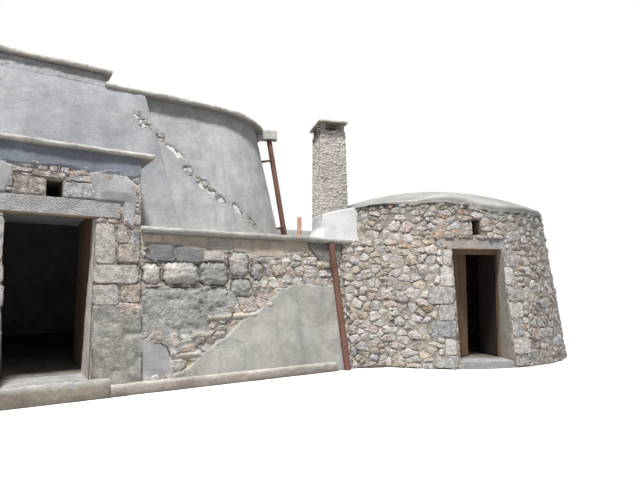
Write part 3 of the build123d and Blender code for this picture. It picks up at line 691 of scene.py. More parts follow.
def clear_of(cell, opening, gap):
    """The largest part of a cell that stays outside a convex opening."""
    shared = cell
    for normal, limit in sides(opening):
        shared = clip(shared, normal, limit + gap)
        if len(shared) < 3:
            return cell
    parts = [clip(cell, (-n[0], -n[1]), -(limit + gap)) for n, limit in sides(opening)]
    return max(parts, key=area)


def courses(rng, left, right, foot, head, height, length, stray):
    """Middles of stones laid in rough courses, a few of them doubled up or left small."""
    middles = []
    level = foot
    while level < head:
        rise = height * rng.uniform(0.65, 1.4)
        at = left - length * rng.uniform(0.0, 1.0)
        while at < right + length:
            run = length * rng.uniform(0.45, 1.6)
            middle = (at + run / 2 + rng.normal(0, stray), level + rise / 2 + rng.normal(0, stray))
            if rng.uniform() < 0.30 and rise > 0.8 * height:
                middles.append((middle[0], middle[1] - rise * 0.27))
                middles.append((middle[0] + rng.normal(0, stray), middle[1] + rise * 0.27))
            else:
                middles.append(middle)
            at += run
        level += rise
    return middles


def lay(region, middles, joint, rng, flatness, uneven, openings=()):
    """Cuts a region into one convex stone outline round each middle."""
    middles = np.asarray(middles, float)
    metric = np.array([1.0, flatness**2])
    weight = rng.uniform(0, uneven**2, len(middles))
    reach = (metric * middles**2).sum(1)
    laid = []
    for i, middle in enumerate(middles):
        apart = middles - middle
        near = np.argsort((apart**2 * metric).sum(1))[1:NEIGHBOURS]
        own_joint = joint * rng.uniform(0.3, 1.7)
        cell = list(region)
        for j in near:
            normal = 2 * metric * apart[j]
            size = math.hypot(*normal)
            limit = (reach[j] - reach[i] + weight[i] - weight[j]) / size
            cell = clip(cell, normal / size, limit - own_joint / 2)
            if len(cell) < 3:
                break
        for opening in openings:
            if len(cell) >= 3:
                cell = clear_of(cell, opening, joint / 2)
        if area(cell) > SMALLEST_STONE:
            laid.append(cell)
    return laid


def resample(outline, step, cut):
    """Points at even steps round an outline with its corners cut by a share of each side."""
    points = np.asarray(outline, float)
    after = np.roll(points, -1, 0)
    points = np.stack([points * (1 - cut) + after * cut, points * cut + after * (1 - cut)], 1).reshape(-1, 2)
    closed = np.vstack([points, points[:1]])
    along = np.concatenate([[0.0], np.cumsum(np.hypot(*np.diff(closed, axis=0).T))])
    count = int(np.clip(round(along[-1] / step), 8, 26))
    at = np.arange(count) / count * along[-1]
    return np.stack([np.interp(at, along, closed[:, 0]), np.interp(at, along, closed[:, 1])], 1)


def net(rows, columns, loop=False):
    """Faces of a grid of points, with the ends of its rows joined where it runs in a loop."""
    pairs = [(j, (j + 1) % columns) for j in range(columns - 1 + loop)]
    return [
        (low + j, low + k, low + columns + k, low + columns + j)
        for low in range(0, (rows - 1) * columns, columns)
        for j, k in pairs
    ]


class Heap:
    """Gathers parts, with the marks of their points, into one mesh."""

    def __init__(self):
        self.points, self.faces, self.marks = [], [], []
        self.count = 0

    def join(self, points, faces, marks):
        """Takes in one part that is made already."""
        self.faces += [tuple(i + self.count for i in face) for face in faces]
        self.points.append(points)
        self.marks.append(marks)
        self.count += len(points)

    def build(self, name, material, slot, body="house", layer="stone", smooth=False, closes=()):
        """Makes one piece of all that was taken in."""
        points, marks = np.concatenate(self.points), np.concatenate(self.marks)
        return piece(name, points, self.faces, material, body, marks, layer, smooth, closes)


class Stones(Heap):
    """The stones of one wall."""

    # Rings of a stone from its foot in the wall to its crown: share of its height, and a mark that is low at
    # the foot, which the stones' finish paints as shade and the lime finish reads as a smoother coat
    LIFTS = (0.0, 0.62, 0.94, 1.0)
    RIM_SHADE_AND_COARSENESS = (0.0, 0.25, 0.85, 1.0)
    # Share of a side cut off at its corners, stray of the rim, tilt of the facets, widths of the
    # inset and the shoulder, and roughness of the rings
    WORKED = (0.10, 0.0018, 0.10, 0.003, 0.009, 0.04)
    BROKEN = (0.15, 0.0060, 0.42, 0.004, 0.016, 0.10)

    def __init__(self, place, rng, step, coarse=1.0):
        super().__init__()
        self.place = place
        self.rng = rng
        self.step = step
        self.coarse = coarse

    def add(self, outline, colour, rise, crisp=False, seat=0.010):
        """Raises one stone out of the wall: broken sides, a few facets and a rough crown."""
        rng = self.rng
        cut, stray, tilt, inset, shoulder, rough = self.WORKED if crisp else self.BROKEN
        points = resample(outline, self.step, cut)
        count = len(points)
        middle = points.mean(0)
        away = points - middle
        size = np.linalg.norm(away, axis=1, keepdims=True)
        points = points + away / size * rng.normal(0, stray, (count, 1))
        span = float(size.mean())
        height = rise * rng.uniform(0.65, 1.35)
        facets = rng.normal(0, tilt, (3, 2)) * height / span
        levels = height * rng.uniform(0.95, 1.20, 3)

        def crown(at):
            return np.min(levels[:, None] + facets @ (at - middle).T, axis=0)

        inset = np.minimum(inset, size * 0.08)
        shoulder = np.minimum(shoulder, size * 0.24)
        rings = (points, points - away / size * inset, points - away / size * shoulder, middle + away * 0.55)
        placed, marks = [], []
        for ring, lift, wear in zip(rings, self.LIFTS, self.RIM_SHADE_AND_COARSENESS):
            out = np.maximum(crown(ring), 0.30 * height) * lift
            out = out + rng.normal(0, rough * height, count)
            if lift == 0.0:
                out = np.full(count, -seat)
            placed.append(self.place(ring[:, 0], ring[:, 1], out))
            # The alpha mark is low at the stone's foot, where the stones' finish paints it as shade
            marks.append(np.column_stack([np.tile(colour, (count, 1)), np.full(count, wear * self.coarse)]))
        placed.append(self.place(middle[:1], middle[1:], crown(middle[None])))
        marks.append(np.array([[*colour, self.coarse]]))
        top, tip = (len(rings) - 1) * count, len(rings) * count
        faces = net(len(rings), count, True)
        faces += [(top + k, top + (k + 1) % count, tip) for k in range(count)]
        faces.append(tuple(reversed(range(count))))
        self.join(np.concatenate(placed), faces, np.concatenate(marks))


WHITE_STONE = (0.53, 0.505, 0.485)
PINK_STONE = (0.475, 0.405, 0.365)
GREY_STONE = (0.345, 0.34, 0.335)
TAN_STONE = (0.43, 0.36, 0.29)
RUST_STONE = (0.43, 0.27, 0.175)
SLATE_STONE = (0.235, 0.245, 0.265)


def stone_colour(rng, shares):
    """A colour near one of a wall's kinds of stone, picked by their shares."""
    kinds, weights = zip(*shares)
    weights = np.array(weights) / sum(weights)
    base = np.array(kinds[rng.choice(len(kinds), p=weights)])
    return np.clip(base * rng.uniform(0.84, 1.14) + rng.normal(0, 0.008, 3), 0.02, 0.95)


def box_region(left, right, foot, head):
    return [(left, foot), (right, foot), (right, head), (left, head)]


def doorway(foot_half, head_half, head):
    """Outline of a doorway, from a little below its floor."""
    return [(-foot_half, -0.1), (foot_half, -0.1), (head_half, head), (-head_half, head)]


def block(bounds, rng, stray=0.008):
    """A roughly squared block with its corners knocked about."""
    return [(x + rng.normal(0, stray), z + rng.normal(0, stray)) for x, z in box_region(*bounds)]


def mirrored(outline):
    """The same stone on the other side of the middle, still anticlockwise."""
    return [(-x, z) for x, z in reversed(outline)]


# Lime coats: thin skins whose thickness and tone vary over a wall


def off_line(start, stop, across, up):
    """Distance of each place from the straight line between two ends."""
    run = np.subtract(stop, start)
    t = np.clip(((across - start[0]) * run[0] + (up - start[1]) * run[1]) / (run @ run), 0, 1)
    return np.hypot(across - start[0] - t * run[0], up - start[1] - t * run[1])


def inside(outline, across, up):
    """Distance into an outline of any shape: positive inside it, negative outside."""
    corners = np.asarray(outline, float)
    across, up = np.asarray(across, float), np.asarray(up, float)
    nearest = np.full(across.shape, FAR)
    within = np.zeros(across.shape, bool)
    for here, there in zip(corners, np.roll(corners, -1, 0)):
        nearest = np.minimum(nearest, off_line(here, there, across, up))
        (ax, az), (bx, bz) = here, there
        crosses = (az > up) != (bz > up)
        edge = ax + (up - az) / np.where(bz == az, 1 / FAR, bz - az) * (bx - ax)
        within ^= crosses & (across < edge)
    return np.where(within, nearest, -nearest)


def inside_any(outlines, across, up):
    """Distance into the outline that a place lies deepest in."""
    return np.max([inside(outline, across, up) for outline in outlines], axis=0)


def cobbles(across, up, size, seed):
    """Lumps like stones under a coat: height from 0 in a joint to 1, and a number for each."""
    rng = np.random.default_rng(seed)
    stray = rng.uniform(0.1, 0.9, (2, COBBLE_CELLS, COBBLE_CELLS))
    numbers = rng.uniform(-1.0, 1.0, (COBBLE_CELLS, COBBLE_CELLS))
    a, b = across / size, up / (size * 0.72)
    i, j = np.floor(a).astype(int), np.floor(b).astype(int)
    first, second, own = np.full(a.shape, FAR), np.full(a.shape, FAR), np.zeros(a.shape)
    for di, dj in np.ndindex(3, 3):
        row, column = (i + di - 1) % COBBLE_CELLS, (j + dj - 1) % COBBLE_CELLS
        away = np.hypot(i + di - 1 + stray[0, row, column] - a, j + dj - 1 + stray[1, row, column] - b)
        second = np.minimum(second, np.maximum(first, away))
        own = np.where(away < first, numbers[row, column], own)
        first = np.minimum(first, away)
    return ease(second - first, 0.02, 0.45), own


def blob(across, up, at, half, turn=0.0):
    """Distance into a tilted oval, roughly."""
    c, s = math.cos(turn), math.sin(turn)
    dx, dz = across - at[0], up - at[1]
    away = np.hypot((dx * c + dz * s) / half[0], (dz * c - dx * s) / half[1])
    return (1 - away) * min(half)


def even(like, tone):
    """The same tone at every place of a grid."""
    return np.zeros((*like.shape, 3)) + np.asarray(tone)


def over(base, tone, share):
    """Lays one tone over another by a share at each point."""
    return base + (np.asarray(tone) - base) * share[..., None]


def coat_marks(tone, coarse):
    """What a coat's points carry: their tone, and how coarse the coat is there."""
    coarse = np.broadcast_to(coarse, tone.shape[:-1])
    return np.concatenate([tone, coarse[..., None]], -1).reshape(-1, 4)


def trimmed(points, faces):
    """Points that the faces use, the faces numbered anew, and the old numbers of the points."""
    used = sorted({i for face in faces for i in face})
    fresh = {old: new for new, old in enumerate(used)}
    return points[used], [tuple(fresh[i] for i in face) for face in faces], used


def coat(name, place, across, up, out, tone, coarse, loop=False):
    """A coat from grids of place, thickness, tone and coarseness, open where it is worn through."""
    worn = (out < WORN).ravel().tolist()
    faces = [face for face in net(*across.shape, loop) if not all(worn[i] for i in face)]
    points, faces, used = trimmed(place(across, up, out).reshape(-1, 3), faces)
    return piece(name, points, faces, lime_render, marks=coat_marks(tone, coarse)[used], layer="coat")


def filling(across, up, size, seed):
    """Crumbling lime mortar between stones: its level and its tone, darkened as painted shade where it has
    fallen out.
    """
    wave = weathered(across, up, size, seed)
    grit = ripple(across, up, 0.05, seed + 1)
    level = np.maximum(0.012 + 0.009 * wave + 0.003 * grit, 0.0)
    tone = even(across, (0.34, 0.305, 0.265))
    # Painted shade: the mortar darkens almost to black in the hollows where it has fallen out
    return level, over(tone, (0.085, 0.072, 0.060), ease(-wave - 0.3 * grit, 0.02, 0.42) * 0.9)


def grid(left, right, foot, head, step):
    """Even grids of across and up over a rectangle."""
    columns = np.linspace(left, right, int(round((right - left) / step)) + 1)
    rows = np.linspace(foot, head, int(round((head - foot) / step)) + 1)
    return np.meshgrid(columns, rows)


# Worked blocks and slabs


class Blocks(Heap):
    """Worn blocks, each shaped from its eight corners."""

    def __init__(self, soft, wear, step):
        super().__init__()
        self.soft, self.wear, self.step = soft, wear, step
        self.seed = 500

    def add(self, corners, colour=(1.0, 1.0, 1.0), step=None):
        """corners[i][j][k] is the corner low or high along the block's three own directions."""
        corners = np.asarray(corners, float).reshape(2, 2, 2, 3)
        step = step or self.step
        self.seed += 1
        ends = (corners[1, 0, 0], corners[0, 1, 0], corners[0, 0, 1])
        size = np.array([np.linalg.norm(end - corners[0, 0, 0]) for end in ends])
        soft = min(self.soft, size.min() * 0.4)
        ticks = []
        for length in size:
            inner = np.linspace(soft, length - soft, max(1, math.ceil((length - 2 * soft) / step)) + 1)
            ticks.append(np.concatenate([[0.0], inner, [length]]))
        index, units, faces = {}, [], []

        def vertex(key):
            if key not in index:
                index[key] = len(units)
                units.append([ticks[axis][key[axis]] for axis in range(3)])
            return index[key]

        sizes = [len(t) for t in ticks]
        handed = np.linalg.det(np.array([end - corners[0, 0, 0] for end in ends])) > 0
        for axis in range(3):
            b, c = (axis + 1) % 3, (axis + 2) % 3
            for side in (0, sizes[axis] - 1):
                for i, j in np.ndindex(sizes[b] - 1, sizes[c] - 1):
                    quad = []
                    for di, dj in ((0, 0), (1, 0), (1, 1), (0, 1)):
                        key = [0, 0, 0]
                        key[axis], key[b], key[c] = side, i + di, j + dj
                        quad.append(vertex(tuple(key)))
                    if (side == 0) == handed:
                        quad.reverse()
                    faces.append(tuple(quad))
        units = np.array(units)
        core = np.clip(units, soft, size - soft)
        away = units - core
        away = away / np.maximum(np.linalg.norm(away, axis=1, keepdims=True), 1 / FAR)
        field = lumps(units + self.seed * 3.7, 0.16, 3) * 0.6 + lumps(units + self.seed, 0.05, 4) * 0.4
        units = core + away * (soft - self.wear * (0.5 + 0.5 * field))[:, None]
        t = units / size
        points = 0.0
        for i, j, k in np.ndindex(2, 2, 2):
            share = np.ones(len(t))
            for axis, high in enumerate((i, j, k)):
                share = share * (t[:, axis] if high else 1 - t[:, axis])
            points = points + share[:, None] * corners[i, j, k]
        self.join(points, faces, np.tile([*colour, 1.0], (len(points), 1)))

    def box(self, low, high, place, **kinds):
        """A block between two corners, moved into place point by point."""
        xs, ys, zs = zip(low, high)
        self.add([place(x, y, z) for x in xs for y in ys for z in zs], **kinds)


# Porch front: squared stones round the vent, big blocks down the right jamb

DOORWAY = doorway(*DOORWAY_HALVES, DOORWAY_HEAD)
LINTEL = box_region(-LINTEL_HALF - 0.025, LINTEL_HALF + 0.025, DOORWAY_HEAD, LINTEL_HEAD)
VENT = box_region(-0.065, 0.105, LINTEL_HEAD, LINTEL_HEAD + 0.20)
# Left, right, foot and head of each block, its colour and how far it stands out
JAMB_BLOCKS = (
    ((0.445, 0.66, 1.45, 1.93), WHITE_STONE, 0.020),
    ((0.68, 0.80, 1.70, 1.90), PINK_STONE, 0.022),
    ((0.81, 0.945, 1.66, 1.86), GREY_STONE, 0.022),
    ((0.68, 0.93, 1.48, 1.68), PINK_STONE, 0.024),
    ((0.425, 0.93, 1.23, 1.44), WHITE_STONE, 0.034),
    ((0.415, 0.70, 0.98, 1.21), WHITE_STONE, 0.030),
    ((0.72, 0.94, 1.00, 1.21), TAN_STONE, 0.022),
)
VENT_BLOCKS = (
    ((-0.37, -0.075, 2.205, 2.40), TAN_STONE, 0.016),
    ((-0.46, -0.385, 2.26, 2.43), WHITE_STONE, 0.022),
    ((0.115, 0.48, 2.205, 2.385), WHITE_STONE, 0.018),
    ((-0.19, 0.13, 2.41, 2.475), TAN_STONE, 0.020),
    ((-0.16, -0.05, 2.485, 2.54), PINK_STONE, 0.018),
    ((-0.03, 0.05, 2.485, 2.55), WHITE_STONE, 0.020),
    ((0.07, 0.17, 2.485, 2.55), WHITE_STONE, 0.020),
    ((0.20, 0.42, 2.40, 2.47), WHITE_STONE, 0.018),
    ((-0.46, -0.21, 2.445, 2.50), PINK_STONE, 0.018),
)
# Outlines of coats on the porch's right half, kept the same on its left
PLASTER_PATCH = [
    (0.44, 2.18), (0.40, 2.34), (0.36, 2.51), (0.55, 2.56), (0.72, 2.59), (0.91, 2.42), (0.91, 2.17),
    (0.87, 1.88), (0.76, 1.95), (0.755, 2.19),
]
MORTAR_PATCH = [(0.50, 2.20), (0.50, 2.30), (0.62, 2.33), (0.80, 2.31), (0.90, 2.25), (0.88, 2.18)]
LOW_RENDER = [(0.40, -0.1), (0.40, 0.99), (0.62, 1.02), (0.99, 0.96), (0.99, -0.1)]
LOW_RENDER_HEAD = 1.1
# Foot of the band under the porch's coping, which is painted as the coping's shadow
BAND_FOOT = 2.535
# Left, right, foot and head of each stretch of small stones, height of a course, length of a stone
PORCH_STRETCHES = (
    (-0.955, 0.955, 2.20, 2.58, 0.12, 0.17),
    (0.41, 0.955, 1.93, 2.195, 0.12, 0.15),
    (-0.955, -0.41, 1.93, 2.195, 0.12, 0.15),
    (0.41, 0.955, 0.02, 1.45, 0.16, 0.20),
    (-0.955, -0.41, 0.02, 1.45, 0.16, 0.20),
)
# Level below which small stones would be hidden by the render
STONES_FROM = 1.0


def porch_stones():
    """Squared blocks, the same on both sides of the doorway, with small stones between them."""
    rng = np.random.default_rng(11)
    wall = Stones(slope_face, rng, 0.030)
    taken = []
    for side in (1, -1):
        for bounds, colour, rise in JAMB_BLOCKS:
            outline = block(bounds, rng)
            outline = outline if side > 0 else mirrored(outline)
            taken.append(outline)
            wall.add(outline, np.array(colour) * rng.uniform(0.54, 0.70), rise, crisp=True)
    for bounds, colour, rise in VENT_BLOCKS:
        outline = block(bounds, rng, 0.005)
        taken.append(outline)
        wall.add(outline, np.array(colour) * rng.uniform(0.54, 0.68) * (0.95, 1.0, 1.10), rise, crisp=True)
    kinds = ((WHITE_STONE, 3), (PINK_STONE, 3), (TAN_STONE, 3), (GREY_STONE, 2))
    for left, right, foot, head, height, length in PORCH_STRETCHES:
        middles = courses(rng, left, right, foot, head, height, length, 0.018)
        region = box_region(left, right, foot, head)
        for outline in lay(region, middles, 0.014, rng, 1.3, 0.03, [DOORWAY, LINTEL, VENT, *taken]):
            if np.max(np.asarray(outline)[:, 1]) > STONES_FROM:
                wall.add(outline, stone_colour(rng, kinds) * 0.85, 0.018)
    wall.build("porch_front_stones", rubble_stone, "rubble_stone")


porch_stones()


def porch_coats():
    """Render under the coping, its colour painted dark grey-blue as the coping's shadow; the pale patch
    beside the vent; rough render below.
    """
    across, up = grid(-PORCH_HALF, PORCH_HALF, 0.0, PORCH_TOP, 0.013)
    wave = weathered(across, up, 0.22, 61)
    both = np.abs(across)
    band = up - (BAND_FOOT + 0.035 * ripple(across, up * 0, 0.17, 62) + 0.02 * wave)
    patch = inside(PLASTER_PATCH, both, up) + 0.020 * wave
    low = inside(LOW_RENDER, both, up) + 0.05 * weathered(across, up, 0.35, 64)
    lower = up < LOW_RENDER_HEAD
    holes = ripple(across, up, 0.13, 65) * 0.03 + 0.012
    low = np.minimum(low, 0.02 + holes)
    closed = np.maximum(np.maximum(band, patch), low)
    thick = 0.021 * ease(band, -0.004, 0.018) + 0.026 * ease(patch, -0.004, 0.014) * (band < 0.02)
    thick = np.maximum(thick, 0.019 * ease(low, -0.004, 0.02))
    pebbly = weathered(across, up, 0.075, 66) * ease(low, 0.0, 0.03) * lower
    out = thick + 0.003 * wave + 0.008 * pebbly - 0.006 * (closed < 0.0)
    out = np.where(inside_any((DOORWAY, LINTEL, VENT), across, up) > -0.006, -0.004, out)
    tone = even(across, 0.335 * np.array([0.99, 1.0, 1.04]))
    grey = inside(MORTAR_PATCH, both, up) + 0.03 * wave
    tone = over(tone, (0.20, 0.20, 0.205), ease(grey, -0.01, 0.02) * 0.8)
    tone = over(tone, (0.31, 0.30, 0.28), ease(low, -0.01, 0.02) * lower)
    # Painted shadow: the band under the coping is darkened and tinted blue as the coping's shade
    tone = over(tone, (0.150, 0.170, 0.205), ease(band, -0.002, 0.012))
    tone = tone * (1 + 0.38 * pebbly + 0.05 * wave)[..., None]
    coarse = 0.85 * ease(low, 0.0, 0.03) * lower + 0.12
    coat("porch_render", slope_face, across, up, out, tone, coarse)


porch_coats()

# Terrace front: a squared top course over boulders, rough cast and a smooth patch

# Left, right and foot of each block of the top course, and its tint
TERRACE_COURSE = (
    (0.97, 1.21, 1.735, (1.18, 1.18, 1.20)),
    (1.21, 1.51, 1.725, (1.05, 1.03, 1.0)),
    (1.51, 1.80, 1.70, (1.0, 0.97, 0.93)),
    (1.80, 2.15, 1.68, (0.82, 0.88, 0.96)),
    (2.15, 2.42, 1.645, (0.98, 0.98, 1.0)),
    (2.42, 2.94, 1.60, (1.0, 0.97, 0.93)),
    (2.94, 3.30, 1.68, (1.08, 1.03, 0.98)),
    (3.30, 3.64, 1.75, (1.0, 0.96, 0.90)),
)
SLATE_BLOCKS = (
    ((1.05, 1.36, 1.50, 1.70), (0.155, 0.155, 0.163)),
    ((1.385, 1.71, 1.50, 1.68), (0.195, 0.198, 0.210)),
)
TERRACE_BLOCKS = (((1.74, 2.02, 1.53, 1.655), WHITE_STONE, 0.026),)
# Left, right, foot and head of each boulder, how much its corners are cut, colour, height
BOULDERS = (
    ((0.965, 1.18, 1.21, 1.48), 0.05, WHITE_STONE, 0.040),
    ((1.20, 1.655, 1.21, 1.49), 0.07, WHITE_STONE, 0.056),
    ((1.67, 2.06, 1.20, 1.51), 0.06, GREY_STONE, 0.050),
    ((2.07, 2.36, 1.32, 1.64), 0.07, WHITE_STONE, 0.054),
    ((2.38, 2.58, 1.28, 1.52), 0.06, GREY_STONE, 0.044),
    ((2.08, 2.40, 1.05, 1.30), 0.06, GREY_STONE, 0.040),
    ((0.965, 1.22, 0.78, 1.19), 0.04, GREY_STONE, 0.030),
    ((1.24, 1.71, 0.66, 1.19), 0.05, GREY_STONE, 0.032),
    ((1.73, 2.06, 0.90, 1.18), 0.05, GREY_STONE, 0.034),
    ((1.76, 2.10, 0.85, 0.93), 0.03, GREY_STONE, 0.026),
)
TERRACE_EDGE = [(0.965, 0.02), (3.925, 0.02), (3.925, 1.66), (0.965, 1.66)]
# Raised ledges of broken render in the shape of lost steps, and damp stains beside them
STEP_SCARS = (
    [(1.75, 0.775), (2.30, 0.80), (2.42, 0.835), (2.30, 0.835), (1.76, 0.82)],
    [(1.55, 0.575), (1.97, 0.59), (1.96, 0.625), (1.57, 0.62)],
    [(1.35, 0.365), (1.65, 0.36), (1.64, 0.395), (1.36, 0.405)],
)
OCHRE_STAINS = (
    ((2.56, 1.15), (0.24, 0.10)), ((2.64, 1.40), (0.13, 0.10)), ((2.17, 0.88), (0.17, 0.07)),
    ((1.88, 0.70), (0.16, 0.06)), ((1.47, 0.30), (0.16, 0.09)), ((1.70, 0.50), (0.10, 0.06)),
)
SMOOTH_PATCH = [
    (3.74, 1.22), (3.60, 1.20), (3.16, 1.235), (2.99, 1.21), (2.82, 1.13), (2.66, 1.04), (2.42, 0.84),
    (2.20, 0.77), (2.02, 0.59), (1.71, 0.41), (1.50, 0.24), (1.30, 0.16), (1.22, -0.1), (3.88, -0.1),
    (3.86, 0.30), (3.80, 0.8),
]
ROUGH_CAST = [
    (0.9, 0.30), (0.9, 1.17), (1.45, 1.19), (1.95, 1.20), (2.14, 1.12), (2.20, 0.95), (2.10, 0.78),
    (1.6, 0.45),
]
BLUE_PATCH = [(0.78, 0.12), (0.80, 0.57), (1.02, 0.60), (1.25, 0.50), (1.30, 0.20), (1.1, 0.10)]
# Grey render in the corner by the pipe, painted dark as the shadow that falls there
SHADED_GREY_RENDER = [
    (3.34, 1.86), (3.34, 1.76), (3.47, 1.60), (3.60, 1.43), (3.70, 1.32), (3.73, 1.18), (3.80, 1.33),
    (3.90, 1.55), (3.94, 1.70), (3.94, 1.86),
]
# The upper stones stand from this level, and the corner's stones end in a slope towards the hut
UPPER_STONES = 1.17
CORNER_REGION = [
    (0.006, 0.02), (0.62, 0.02), (0.76, TERRACE_FLOOR),
    (0.006 - CORNER_EDGE * TERRACE_FLOOR, TERRACE_FLOOR),
]


def terrace_stones():
    """The top course as one piece, then the front's stones and those that close the corner."""
    rng = np.random.default_rng(23)
    wall = Stones(slope_face, rng, 0.030)
    taken = []
    course = Stones(slope_face, rng, 0.030, 0.18)
    for left, right, foot, tint in TERRACE_COURSE:
        outline = block((left + 0.005, right - 0.005, foot + 0.004, TERRACE_TOP - 0.002), rng, 0.002)
        taken.append(outline)
        course.add(outline, np.array([0.43, 0.37, 0.32]) * np.array(tint), 0.010, crisp=True)
    for bounds, colour in SLATE_BLOCKS:
        outline = block(bounds, rng)
        taken.append(outline)
        course.add(outline, np.array(colour), 0.027, crisp=True)
    course.build("terrace_course_blocks", lime_render, "dressed_stone", layer="coat")
    for bounds, colour, rise in TERRACE_BLOCKS:
        outline = block(bounds, rng)
        taken.append(outline)
        wall.add(outline, np.array(colour) * rng.uniform(0.78, 0.90), rise, crisp=True)
    taken += [box_region(*bounds) for bounds, _, _, _ in BOULDERS]
    kinds = ((WHITE_STONE, 5), (PINK_STONE, 2), (TAN_STONE, 2), (GREY_STONE, 3), (RUST_STONE, 0.25))
    for region, foot, head, height, length, blocked in (
        (clip(TERRACE_EDGE, (0, -1), -UPPER_STONES), UPPER_STONES, 1.74, 0.125, 0.17, taken),
        (clip(TERRACE_EDGE, (0, 1), UPPER_STONES), 0.02, UPPER_STONES, 0.14, 0.20, [*taken, *STEP_SCARS]),
    ):
        middles = courses(rng, 0.96, 3.95, foot, head, height, length, 0.026)
        for outline in lay(region, middles, 0.009, rng, 1.3, 0.085, blocked):
            if inside_any((SMOOTH_PATCH, BLUE_PATCH, SHADED_GREY_RENDER), *np.mean(outline, 0)) < 0.05:
                wall.add(outline, stone_colour(rng, kinds), 0.030)
    wall.place = corner_face
    kinds = ((WHITE_STONE, 5), (PINK_STONE, 4), (TAN_STONE, 3), (GREY_STONE, 1))
    middles = courses(rng, -0.1, 0.8, 0.02, TERRACE_FLOOR, 0.12, 0.17, 0.028)
    for outline in lay(CORNER_REGION, middles, 0.010, rng, 1.3, 0.06):
        wall.add(outline, stone_colour(rng, kinds), 0.030)
    wall.build("terrace_front_stones", rubble_stone, "rubble_stone")


terrace_stones()


def corner_masonry():
    """The mortared mass behind the stones that close the corner between terrace and hut."""
    back, hut_side = 0.66, 4.75
    levels = np.linspace(0.0, TERRACE_FLOOR - 0.006, 9)
    points = []
    for up in levels:
        near, far = corner_face(-CORNER_EDGE * up, up, 0.0), corner_face(0.77 + 0.058 * up, up, 0.0)
        points += [tuple(near), tuple(far), (hut_side, back, up), (CORNER_START, back, up)]
    faces = [(3, 2, 1, 0), tuple(len(points) - 4 + k for k in range(4)), *net(len(levels), 4, True)]
    piece("corner_masonry", points, faces, mortar, smooth=False)
    across, up = grid(-0.05, 0.86, 0.03, 1.88, 0.032)
    level, tone = filling(across, up, 0.085, 88)
    level = np.where(across < -CORNER_EDGE * up + 0.004, -0.01, level)
    coat("corner_mortar", corner_face, across, up, level, tone, 0.7)


corner_masonry()


def terrace_coats():
    """One coat for the whole front: boulders, rough cast, smooth patch, grey render painted dark as shadow,
    and joints.
    """
    across, up = grid(0.958, CORNER_START - 0.002, 0.0, TERRACE_TOP, 0.0125)
    wave = weathered(across, up, 0.25, 71)
    fine = weathered(across, up, 0.08, 72)
    grit = ripple(across, up, 0.026, 74)
    smooth = inside(SMOOTH_PATCH, across, up) + 0.014 * wave
    rough = inside(ROUGH_CAST, across, up) + 0.05 * wave + 0.02 * fine
    blue = inside(BLUE_PATCH, across, up) + 0.03 * wave
    dark = inside(SHADED_GREY_RENDER, across, up) + 0.02 * wave
    lefts, rights, feet, _ = zip(*TERRACE_COURSE)
    course = up - np.interp(across, (np.array(lefts) + np.array(rights)) / 2, feet) + 0.012
    rough = np.minimum(rough, 0.040 + 0.034 * weathered(across, up, 0.20, 73))
    scars = inside_any(STEP_SCARS, across, up)
    tone = even(across, (0.36, 0.355, 0.345))
    crest, deepest = np.zeros(across.shape), np.full(across.shape, -1.0)
    for (left, right, foot, head), cut, colour, rise in BOULDERS:
        corners = [
            (left + cut, foot), (right - cut, foot), (right, foot + cut), (right, head - cut),
            (right - cut, head), (left + cut, head), (left, head - cut), (left, foot + cut),
        ]
        depth = inside(corners, across, up) + 0.022 * fine + 0.006 * grit
        own = rise * np.sqrt(ease(depth, -0.006, 0.11))
        # Painted shade: each boulder darkens towards its edge, where it meets the joints
        shade = np.array(colour) * 0.98 * (0.35 + 0.65 * ease(depth, 0.0, 0.035))[..., None]
        tone = np.where((own > crest)[..., None], shade, tone)
        crest = np.maximum(crest, own)
        deepest = np.maximum(deepest, depth)
    thick = 0.036 * ease(smooth, -0.002, 0.012)
    thick = np.maximum(thick, 0.024 * ease(rough, -0.006, 0.03) + 0.006 * fine * (rough > 0))
    thick = np.maximum(thick, 0.026 * ease(blue, -0.05, 0.01))
    thick = np.maximum(thick, 0.005 * ease(course, 0.0, 0.006))
    thick = np.maximum(thick, 0.026 * ease(dark, -0.003, 0.012))
    stony = (crest > 0.004) & (smooth < 0) & (blue < 0)
    thick = np.where(stony, np.maximum(crest, thick * 0.7) + 0.011 * fine + 0.006 * grit, thick)
    ledges = ease(scars + 0.006 * fine, -0.020, 0.006)
    thick = np.maximum(thick, 0.016 * ease(scars, -0.05, -0.02)) + 0.024 * ledges
    out = thick + 0.003 * wave - 0.006 * (thick < 0.002)
    joints = (thick < 0.002) & (smooth < 0) & (up > 0.02)
    level, sandy = filling(across, up, 0.08, 76)
    out = np.where(joints, level, out)
    tone = np.where(joints[..., None], sandy, tone)
    tone = np.where(((rough > 0.0) & (crest < 0.012))[..., None], (0.33, 0.325, 0.315), tone)
    for at, half in OCHRE_STAINS:
        stained = ease(blob(across, up, at, half) + 0.03 * fine, -0.01, 0.03)
        tone = over(tone, (0.40, 0.29, 0.18), stained * 0.65)
    tone = over(tone, (0.45, 0.405, 0.355), ledges * (smooth < 0))
    tone = over(tone, (0.275, 0.276, 0.284), ease(blue, -0.02, 0.05))
    tone = over(tone, (0.345, 0.342, 0.318), ease(smooth, -0.01, 0.01))
    tone = over(tone, (0.40, 0.365, 0.33), ease(course, -0.002, 0.004) * (deepest < 0))
    # Painted shadow: the grey render by the pipe is darkened as the corner's shade
    tone = over(tone, (0.165, 0.160, 0.155), ease(dark, -0.01, 0.01))
    tone = tone * (1 + 0.13 * wave + 0.05 * fine)[..., None]
    coarse = 0.9 * np.maximum(ease(rough, 0.0, 0.02), stony) * (smooth < 0) * (blue < 0) + 0.06
    coarse = np.maximum(coarse, 0.8 * ease(dark, 0.0, 0.02))
    coat("terrace_render", slope_face, across, up, out, tone, coarse)


terrace_coats()

